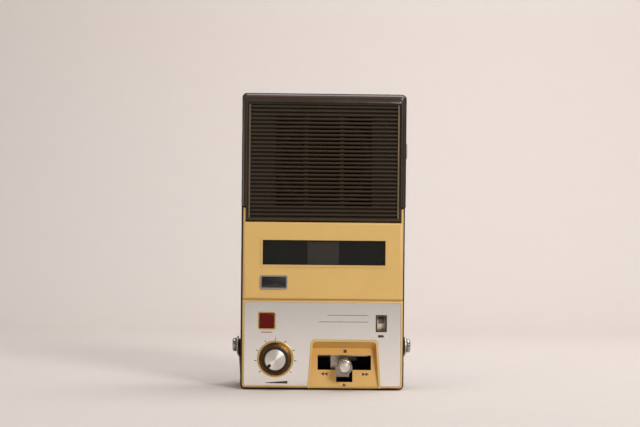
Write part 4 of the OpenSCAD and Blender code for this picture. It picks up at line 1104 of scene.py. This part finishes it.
@dataclass(frozen=True)
class Marks:
    """Plain printed marks on the panel and on the lever's tray.

    Attributes:
        panel_y: Depth of the panel's front.
        sunk: How far the print reaches into what it lies on.
        ink: Thickness of the print.
        knob: Middle of the marks round the knob.
        tick_angles: Their angles from straight up, in degrees.
        tick_reach: Distances of their ends from the middle.
        tick_width: Their width.
        wedge: Sign under the knob.
        battery: Sign under the meter.
        rules: Plain lines on the panel.
        stripe: Line under the record button.
        tray_foot: Depth and height of the tray's floor at its foot.
        tray_top: Depth and height of the tray's floor at its top.
        stop: Place of the square on the tray.
        stop_size: Its width.
        stop_radius: Its corner radius.
        arrows: Place, width and way of each triangle on the tray: 1 points right and -1 left.
        arrow_slope: Half a triangle's height as a share of its width.
    """

    panel_y: float = -31.2
    sunk: float = -0.02
    ink: float = 0.04
    knob: Point2 = (-38.0, 25.1)
    tick_angles: tuple[float, ...] = (0.0, 30.0, -30.0, 65.0, -65.0, 95.0, -95.0, 130.0, -130.0)
    tick_reach: Point2 = (15.3, 17.2)
    tick_width: float = 0.55
    wedge: Corners = Corners(((-46.0, 5.6), (-28.0, 5.2), (-28.0, 7.4), (-46.0, 6.0)))
    battery: tuple[RoundRect, ...] = (
        RoundRect(4.4, 2.0, 0.2, (47.2, 44.0)), RoundRect(0.5, 1.0, 0.1, (49.7, 44.0)),
    )
    rules: tuple[RoundRect, ...] = (
        RoundRect(32.5, 0.45, 0.1, (20.2, 60.8)), RoundRect(40.5, 0.45, 0.1, (16.8, 55.4)),
    )
    stripe: RoundRect = RoundRect(9.0, 0.7, 0.2, (-45.1, 46.7))
    tray_foot: Point2 = (-31.2, 1.8)
    tray_top: Point2 = (-26.0, 33.8)
    stop: Point2 = (18.6, 31.4)
    stop_size: float = 2.6
    stop_radius: float = 0.1
    arrows: tuple[tuple[float, float, float, int], ...] = (
        (0.2, 13.2, 2.7, -1), (3.0, 13.2, 2.7, -1), (33.8, 13.0, 2.7, 1), (36.6, 13.0, 2.7, 1),
        (18.3, 4.2, 2.8, 1),
    )
    arrow_slope: float = 0.55

    def build(self, shop: Workshop) -> None:
        """Print the panel and the tray.

        Args:
            shop: Workshop that makes the prints.
        """
        panel = Facing((0.0, self.panel_y, 0.0))
        rise = (0.0, self.tray_top[0] - self.tray_foot[0], self.tray_top[1] - self.tray_foot[1])
        tray = Facing((0.0, *self.tray_foot), up=rise)
        for name, facing, shapes, coat, slot in (
            ("panel_print", panel, [*self._ticks(), self.wedge, *self.battery], Coat.INK, "black_plastic"),
            ("panel_rules", panel, self.rules, Coat.GREY_INK, "black_plastic"),
            ("record_print", panel, [self.stripe], Coat.RED_INK, "red_button"),
            ("tray_print", tray, self._signs(1.0 / tray.matrix().col[2].z), Coat.INK, "black_plastic"),
        ):
            shop.plate(name, facing, shapes, self.sunk, self.ink, coat, "root", slot)

    def _ticks(self) -> list[Shape]:
        """Give the marks round the volume knob.

        Returns:
            Their outlines on the panel.
        """
        marks: list[Shape] = []
        for angle in map(math.radians, self.tick_angles):
            out = Vector((math.sin(angle), math.cos(angle)))
            side = Vector((-out.y, out.x)) * self.tick_width / 2
            near, far = (Vector(self.knob) + out * reach for reach in self.tick_reach)
            corners = (near + side, near - side, far - side, far + side)
            marks.append(Corners(tuple((point.x, point.y) for point in corners)))
        return marks

    def _signs(self, tall: float) -> list[Shape]:
        """Give the square and the triangles on the tray.

        Args:
            tall: Length along the tray's floor for each millimetre of height.

        Returns:
            Their outlines on the tray's floor.
        """
        stop = (self.stop[0], (self.stop[1] - self.tray_foot[1]) * tall)
        signs: list[Shape] = [RoundRect(self.stop_size, self.stop_size, self.stop_radius, stop)]
        for x, height, width, way in self.arrows:
            z = (height - self.tray_foot[1]) * tall
            tip, back = (x + way * width / 2, z), x - way * width / 2
            rise = way * width * self.arrow_slope
            signs.append(Corners((tip, (back, z + rise), (back, z - rise))))
        return signs


@dataclass(frozen=True)
class ControlPanel(Assembly):
    """The lower yellow frame and its brushed panel.

    Attributes:
        lip: Outline of the lip that the door's lower edge meets.
        lip_place: Place that the lip is measured from.
        lip_low: Height of the lip's back above that place.
        lip_high: Height of the lip's front above that place.
        marks: What is printed on the panel and the tray.
    """

    coats: tuple[Dressing, ...] = (
        Dressing(Coat.FRAME, ("front_frame",), 0.4),
        Dressing(Coat.PANEL, ("control_panel",), 0.15),
    )
    lip: RoundRect = RoundRect(129.2, 0.4, 0.05, (0.0, 72.95))
    lip_place: Facing = Facing((0.0, -32.0, 0.0))
    lip_low: float = -3.0
    lip_high: float = -0.35
    marks: Marks = Marks()

    def build(self, shop: Workshop) -> None:
        """Lay the lip and print the marks.

        Args:
            shop: Workshop that makes the pieces.
        """
        shop.plate(
            "door_rest", self.lip_place, [self.lip], self.lip_low, self.lip_high, Coat.YELLOW, "root",
            "yellow_moulding",
        )
        self.marks.build(shop)


@dataclass(frozen=True)
class VolumeDial(Assembly):
    """The volume knob: polished skirt, toothed crown and spun cap, inside a gilt ring.

    Attributes:
        axis: Where the knob's axis meets the panel.
        skirt: Radius and height of the skirt's rings.
        crown: Radius and height of the crown's rings.
        cap: Radius and height of the cap's rings.
        cap_steps: Steps round the cap.
        teeth: Number of the crown's teeth.
        tooth_steps: Steps round one tooth and its groove.
        groove_steps: Those of them that are the groove.
        groove_depth: How far a groove cuts in.
        groove_dip: How far a groove lowers the crown's front edge.
        groove_from: Least radius and height that a groove cuts.
        dip_from: Height from which a groove lowers the crown.
        notch_angle: Direction of the cap's pointer notch, in degrees.
        notch_reach: Radii between which the notch runs.
        notch_width: Width of the notch.
        notch_radius: Corner radius of its floor.
        notch_from: Height from which the notch cuts the cap.
        notch_height: Height of the notch's bottom.
        pit: Heights of the dark floor that lies in the notch.
    """

    coats: tuple[Dressing, ...] = (
        Dressing(Coat.GILT, ("dial_ring",), 0.12),
        Dressing(Coat.STEEL, ("volume_control",)),
    )
    axis: Point3 = (-38.0, -31.2, 25.1)
    skirt: tuple[Point2, ...] = (
        (2.9, -7.0), (2.9, 0.5), (12.9, 0.5), (13.2, 0.8), (13.2, 1.7), (12.9, 2.6), (12.2, 4.6), (11.6, 6.6),
        (11.2, 7.4), (9.0, 7.5),
    )
    crown: tuple[Point2, ...] = (
        (8.6, 7.2), (11.1, 7.3), (11.3, 7.6), (10.9, 10.2), (10.6, 10.7), (10.1, 10.9), (8.5, 11.0),
        (8.35, 10.5),
    )
    cap: tuple[Point2, ...] = (
        (8.0, 10.0), (8.25, 10.1), (8.25, 10.95), (8.1, 11.1), (7.0, 11.28), (5.45, 11.38), (5.4, 11.38),
        (4.0, 11.5), (1.5, 11.58), (0.05, 11.6),
    )
    cap_steps: int = 240
    teeth: int = 48
    tooth_steps: int = 6
    groove_steps: int = 2
    groove_depth: float = 0.4
    groove_dip: float = 0.45
    groove_from: Point2 = (9.5, 7.55)
    dip_from: float = 10.5
    notch_angle: float = 225.0
    notch_reach: Point2 = (5.4, 8.2)
    notch_width: float = 2.2
    notch_radius: float = 0.1
    notch_from: float = 10.8
    notch_height: float = 10.55
    pit: Point2 = (10.2, 10.58)

    def build(self, shop: Workshop) -> None:
        """Turn the skirt, the crown and the cap, and lay the floor of the notch.

        Args:
            shop: Workshop that makes the pieces.
        """
        facing, body = Facing(self.axis), "volume_dial"
        skirt = shop.turned("knob_skirt", facing, self.skirt, Coat.KNOB_SKIRT, body)
        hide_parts("volume_knob")
        shop.turned(
            "knob_crown", facing, self.crown, Coat.KNOB_CROWN, body, self._groove,
            self.teeth * self.tooth_steps,
        )
        cap = shop.turned(
            "spun_cap", facing, self.cap, Coat.SATIN, body, self._notch, self.cap_steps
        )
        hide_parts("knob_cap")
        angle = math.radians(self.notch_angle)
        cosine, sine = math.cos(angle), math.sin(angle)
        place = Facing(self.axis, right=(cosine, 0.0, sine), up=(-sine, 0.0, cosine))
        inner, outer = self.notch_reach
        middle = ((inner + outer) / 2, 0.0)
        floor = RoundRect(outer - inner, self.notch_width, self.notch_radius, middle)
        shop.plate("notch_floor", place, [floor], *self.pit, Coat.BLACK, body, "black_plastic")

    def _notch(self, step: int, radius: float, lift: float) -> Point2:
        """Cut the pointer notch into the cap's top.

        Args:
            step: Step round the cap.
            radius: Radius of the ring.
            lift: Height of the ring.

        Returns:
            The radius and height to add.
        """
        turn = math.tau * step / self.cap_steps - math.radians(self.notch_angle)
        beside = abs(math.sin(turn) * radius) >= self.notch_width / 2 or math.cos(turn) <= 0
        if beside or radius <= self.notch_reach[0] or lift <= self.notch_from:
            return 0.0, 0.0
        return 0.0, self.notch_height - lift

    def _groove(self, step: int, radius: float, lift: float) -> Point2:
        """Cut a groove between two teeth into the crown's side and front edge.

        Args:
            step: Step round the crown.
            radius: Radius of the ring.
            lift: Height of the ring.

        Returns:
            The radius and height to add.
        """
        least_radius, least_lift = self.groove_from
        if step % self.tooth_steps >= self.groove_steps or radius < least_radius or lift < least_lift:
            return 0.0, 0.0
        return -self.groove_depth, (-self.groove_dip if lift > self.dip_from else 0.0)


@dataclass(frozen=True)
class RecordKey(Assembly):
    """The red record button in its gilt surround."""

    coats: tuple[Dressing, ...] = (
        Dressing(Coat.GILT, ("record_surround",), 0.2),
        Dressing(Coat.RED, ("record_button",), 0.35),
        Dressing(Coat.STEEL, ("record_spring",)),
    )


@dataclass(frozen=True)
class BatteryMeter(Assembly):
    """The small battery meter behind its lens."""

    coats: tuple[Dressing, ...] = (
        Dressing(Coat.BEZEL, ("meter_bezel",), 0.15),
        Dressing(Coat.LENS, ("meter_lens",)),
        Dressing(Coat.CREAM, ("meter_housing", "meter_drum")),
        Dressing(Coat.FLAG, ("meter_flag",)),
    )


@dataclass(frozen=True)
class LeverGate(Assembly):
    """The function lever with its knob, shaft and collars.

    Attributes:
        axis: Middle of the lever's shaft.
        tilt: Angle by which the lever points down, in degrees.
        knob: Radius of the knob's rings and their distance from the shaft: a stepped collar, a rounded
            edge and a face ring round a sunk groove.
        disc: Radius of the disc's rings in the knob's face and their distance from the shaft.
    """

    coats: tuple[Dressing, ...] = (
        Dressing(Coat.LEVER, ("lever_arm",), 0.15),
        Dressing(Coat.STEEL, ("lever_shaft",)),
        Dressing(Coat.BLACK, ("lever_bracket",)),
        Dressing(Coat.IVORY, ("rewind_collar", "forward_collar")),
    )
    axis: Point3 = (18.0, 6.0, 25.5)
    tilt: float = 6.9
    knob: tuple[Point2, ...] = (
        (2.4, 42.2), (5.1, 42.2), (5.7, 42.6), (6.1, 43.4), (6.1, 48.9), (5.95, 49.5), (5.55, 50.0),
        (5.1, 50.2), (4.6, 50.1), (4.4, 49.5), (4.1, 49.45), (0.05, 49.45),
    )
    disc: tuple[Point2, ...] = ((4.0, 49.4), (4.0, 49.75), (3.8, 49.95), (2.0, 50.08), (0.05, 50.1))

    def build(self, shop: Workshop) -> None:
        """Turn the knob and the satin disc in its face.

        Args:
            shop: Workshop that makes the pieces.
        """
        tilt = math.radians(self.tilt)
        facing = Facing(self.axis, up=(0.0, -math.sin(tilt), math.cos(tilt)))
        knob = shop.turned("lever_button", facing, self.knob, Coat.LEVER, "lever")
        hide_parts("lever_knob")
        shop.turned("lever_disc", facing, self.disc, Coat.SATIN, "lever")


@dataclass(frozen=True)
class Handle(Assembly):
    """The folding strap handle with its grip and pivots."""

    coats: tuple[Dressing, ...] = (
        Dressing(Coat.STRAP, ("handle_strap",), 0.3),
        Dressing(Coat.PIVOT, ("handle_pivots",), 0.3),
        Dressing(Coat.GRIP, ("handle_grip",), 0.6),
        Dressing(Coat.BLACK, ("handle_spacers",)),
    )


@dataclass(frozen=True)
class JackPanel(Assembly):
    """The plate with its two sockets on the right side."""

    coats: tuple[Dressing, ...] = (
        Dressing(Coat.STEEL, ("jack_plate",), 0.15),
        Dressing(Coat.CHROME, ("jack_sockets",), 0.15),
    )


@dataclass(frozen=True)
class TapeDeck(Assembly):
    """The deck behind the door: well, spindles, heads, flywheel, belt and motor."""

    coats: tuple[Dressing, ...] = (
        Dressing(Coat.BLACK, ("cassette_well",), 0.3),
        Dressing(Coat.DECK, ("deck_plate", "head_plate"), 0.15),
        Dressing(Coat.STEEL, ("deck_screws", "flywheel_bridge", "motor_bracket", "drive_motor")),
        Dressing(Coat.BLACK, ("supply_spindle", "takeup_spindle"), 0.2),
        Dressing(Coat.BRASS, ("flywheel", "motor_pulley")),
        Dressing(Coat.RUBBER, ("idler_wheel", "drive_belt", "pinch_roller")),
        Dressing(Coat.CHROME, ("capstan", "play_head", "erase_head"), 0.15),
    )


@dataclass(frozen=True)
class PowerBay(Assembly):
    """The battery tray, its cells and contacts, the lid and the circuit board."""

    coats: tuple[Dressing, ...] = (
        Dressing(Coat.BLACK, ("battery_tray",)),
        Dressing(Coat.SPRING, ("battery_contacts",)),
        Dressing(Coat.JACKET, ("battery_cells",), 0.4),
        Dressing(Coat.CASE, ("battery_door",), 0.4),
        Dressing(Coat.BOARD, ("circuit_board",)),
    )


# Studio


@dataclass(frozen=True)
class Lamp:
    """A soft area lamp.

    Attributes:
        name: Name of the lamp.
        place: Where it stands, in metres.
        size: Width of its square face, in metres.
        power: Power in watts.
        aim: Point that it faces, in metres.
        colour: Linear colour of its light.
    """

    name: str
    place: Point3
    size: float
    power: float
    aim: Point3 = (0.0, 0.0, 0.12)
    colour: RGB = (1.0, 0.99, 0.98)

    def build(self) -> None:
        """Stand the lamp in the scene."""
        light = bpy.data.lights.new(self.name, "AREA")
        light.size = self.size
        light.energy = self.power
        light.color = self.colour
        lamp = bpy.data.objects.new(self.name, light)
        bpy.context.scene.collection.objects.link(lamp)
        lamp.location = self.place
        lamp.rotation_euler = (Vector(self.aim) - Vector(self.place)).to_track_quat("-Z", "Y").to_euler()


@dataclass(frozen=True)
class Sweep:
    """The pale floor that bends up into the backdrop, in metres.

    Attributes:
        finish: Finish of the floor and the backdrop.
        half_width: Half its width.
        front: Where the floor ends in front.
        bend_start: Where the bend starts behind the object.
        bend_radius: Radius of the bend.
        bend_steps: Steps round the bend.
        height: Height of the backdrop.
    """

    finish: Moulded = Moulded(
        srgb(208, 200, 196), roughness=0.8, grain=3.0, depth=0.01, shade=0.01, specular=0.1
    )
    half_width: float = 2.6
    front: float = -1.15
    bend_start: float = 0.75
    bend_radius: float = 0.5
    bend_steps: int = 24
    height: float = 2.6

    def build(self) -> None:
        """Lay the sweep."""
        line = [(self.front, 0.0)]
        for i in range(self.bend_steps + 1):
            angle = math.pi / 2 * i / self.bend_steps
            line.append((
                self.bend_start + self.bend_radius * math.sin(angle), self.bend_radius * (1 - math.cos(angle))
            ))
        line.append((self.bend_start + self.bend_radius, self.height))
        points = [(x, y, z) for y, z in line for x in (-self.half_width, self.half_width)]
        faces = [(2 * i, 2 * i + 1, 2 * i + 3, 2 * i + 2) for i in range(len(line) - 1)]
        mesh = bpy.data.meshes.new("sweep")
        mesh.from_pydata(points, [], faces)
        for polygon in mesh.polygons:
            polygon.use_smooth = True
        mesh.materials.append(self.finish.make("sweep"))
        sweep = bpy.data.objects.new("sweep", mesh)
        bpy.context.scene.collection.objects.link(sweep)


@dataclass(frozen=True)
class View:
    """The level camera at the photo's angle.

    Attributes:
        place: Where it stands, in metres.
        aim: Point that it looks at, in metres.
        sensor: Width of its sensor.
        lens: Focal length.
        roll: Angle by which it leans, in degrees.
        shift: Shift of its lens, as a share of the frame.
    """

    place: Point3 = (-0.03, -1.232, 0.12)
    aim: Point3 = (0.0, -0.032, 0.12)
    sensor: float = 36.0
    lens: float = 83.5
    roll: float = 0.55
    shift: Point2 = (-0.0053, 0.0445)

    def build(self) -> None:
        """Place the camera, turned to the object and rolled a little."""
        data = bpy.data.cameras.new("photo")
        data.sensor_width = self.sensor
        data.lens = self.lens
        data.shift_x, data.shift_y = self.shift
        camera = bpy.data.objects.new("photo", data)
        bpy.context.scene.collection.objects.link(camera)
        turn = (Vector(self.aim) - Vector(self.place)).to_track_quat("-Z", "Y").to_matrix().to_4x4()
        roll = Matrix.Rotation(math.radians(self.roll), 4, "Z")
        camera.matrix_world = Matrix.Translation(self.place) @ turn @ roll
        bpy.context.scene.camera = camera


@dataclass(frozen=True)
class Studio:
    """The pale sweep, the soft lamps, the world's light and the camera.

    Attributes:
        sweep: Floor and backdrop.
        lamps: The lamps.
        world_colour: Linear colour of the world's light.
        world_strength: Strength of the world's light.
        view: The camera.
    """

    sweep: Sweep = Sweep()
    lamps: tuple[Lamp, ...] = (
        Lamp("key", (1.04, -1.75, 1.1), 0.56, 29.4),
        Lamp("fill", (-1.2, -1.1, 0.9), 1.2, 2.6, colour=(1.0, 0.92, 0.86)),
        Lamp("top", (0.2, -0.1, 1.6), 1.2, 13.0, (0.05, 0.0, 0.0)),
        Lamp("wall", (0.45, 0.35, 1.15), 0.7, 6.4, (0.2, 1.15, 0.24)),
        Lamp("edge", (-1.5, -0.32, 0.14), 0.5, 1.0, (0.0, 0.0, 0.14)),
    )
    world_colour: RGB = (1.0, 0.945, 0.885)
    world_strength: float = 0.28
    view: View = View()

    def build(self) -> None:
        """Build the sweep, the lamps, the world and the camera."""
        for thing in (self.sweep, *self.lamps, self.view):
            thing.build()
        world = bpy.data.worlds.new("studio")
        bpy.context.scene.world = world
        world.use_nodes = True
        background = world.node_tree.nodes["Background"]
        background.inputs["Color"].default_value = rgba(self.world_colour)
        background.inputs["Strength"].default_value = self.world_strength
        bpy.context.scene.view_settings.view_transform = "Standard"
        LOG.info("built the studio")


def main() -> None:
    """Load the frame, dress and build every sub-assembly, then the studio."""
    logging.basicConfig(level=logging.INFO, format="%(name)s: %(message)s")
    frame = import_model()
    shop = Workshop(frame)
    assemblies: tuple[Assembly, ...] = (
        Case(), SpeakerGrille(), CassetteDoor(), ControlPanel(), VolumeDial(), RecordKey(), BatteryMeter(),
        LeverGate(), Handle(), JackPanel(), TapeDeck(), PowerBay(),
    )
    for assembly in assemblies:
        assembly.dress(shop)
        assembly.build(shop)
    Studio().build()


if __name__ == "__main__":
    main()
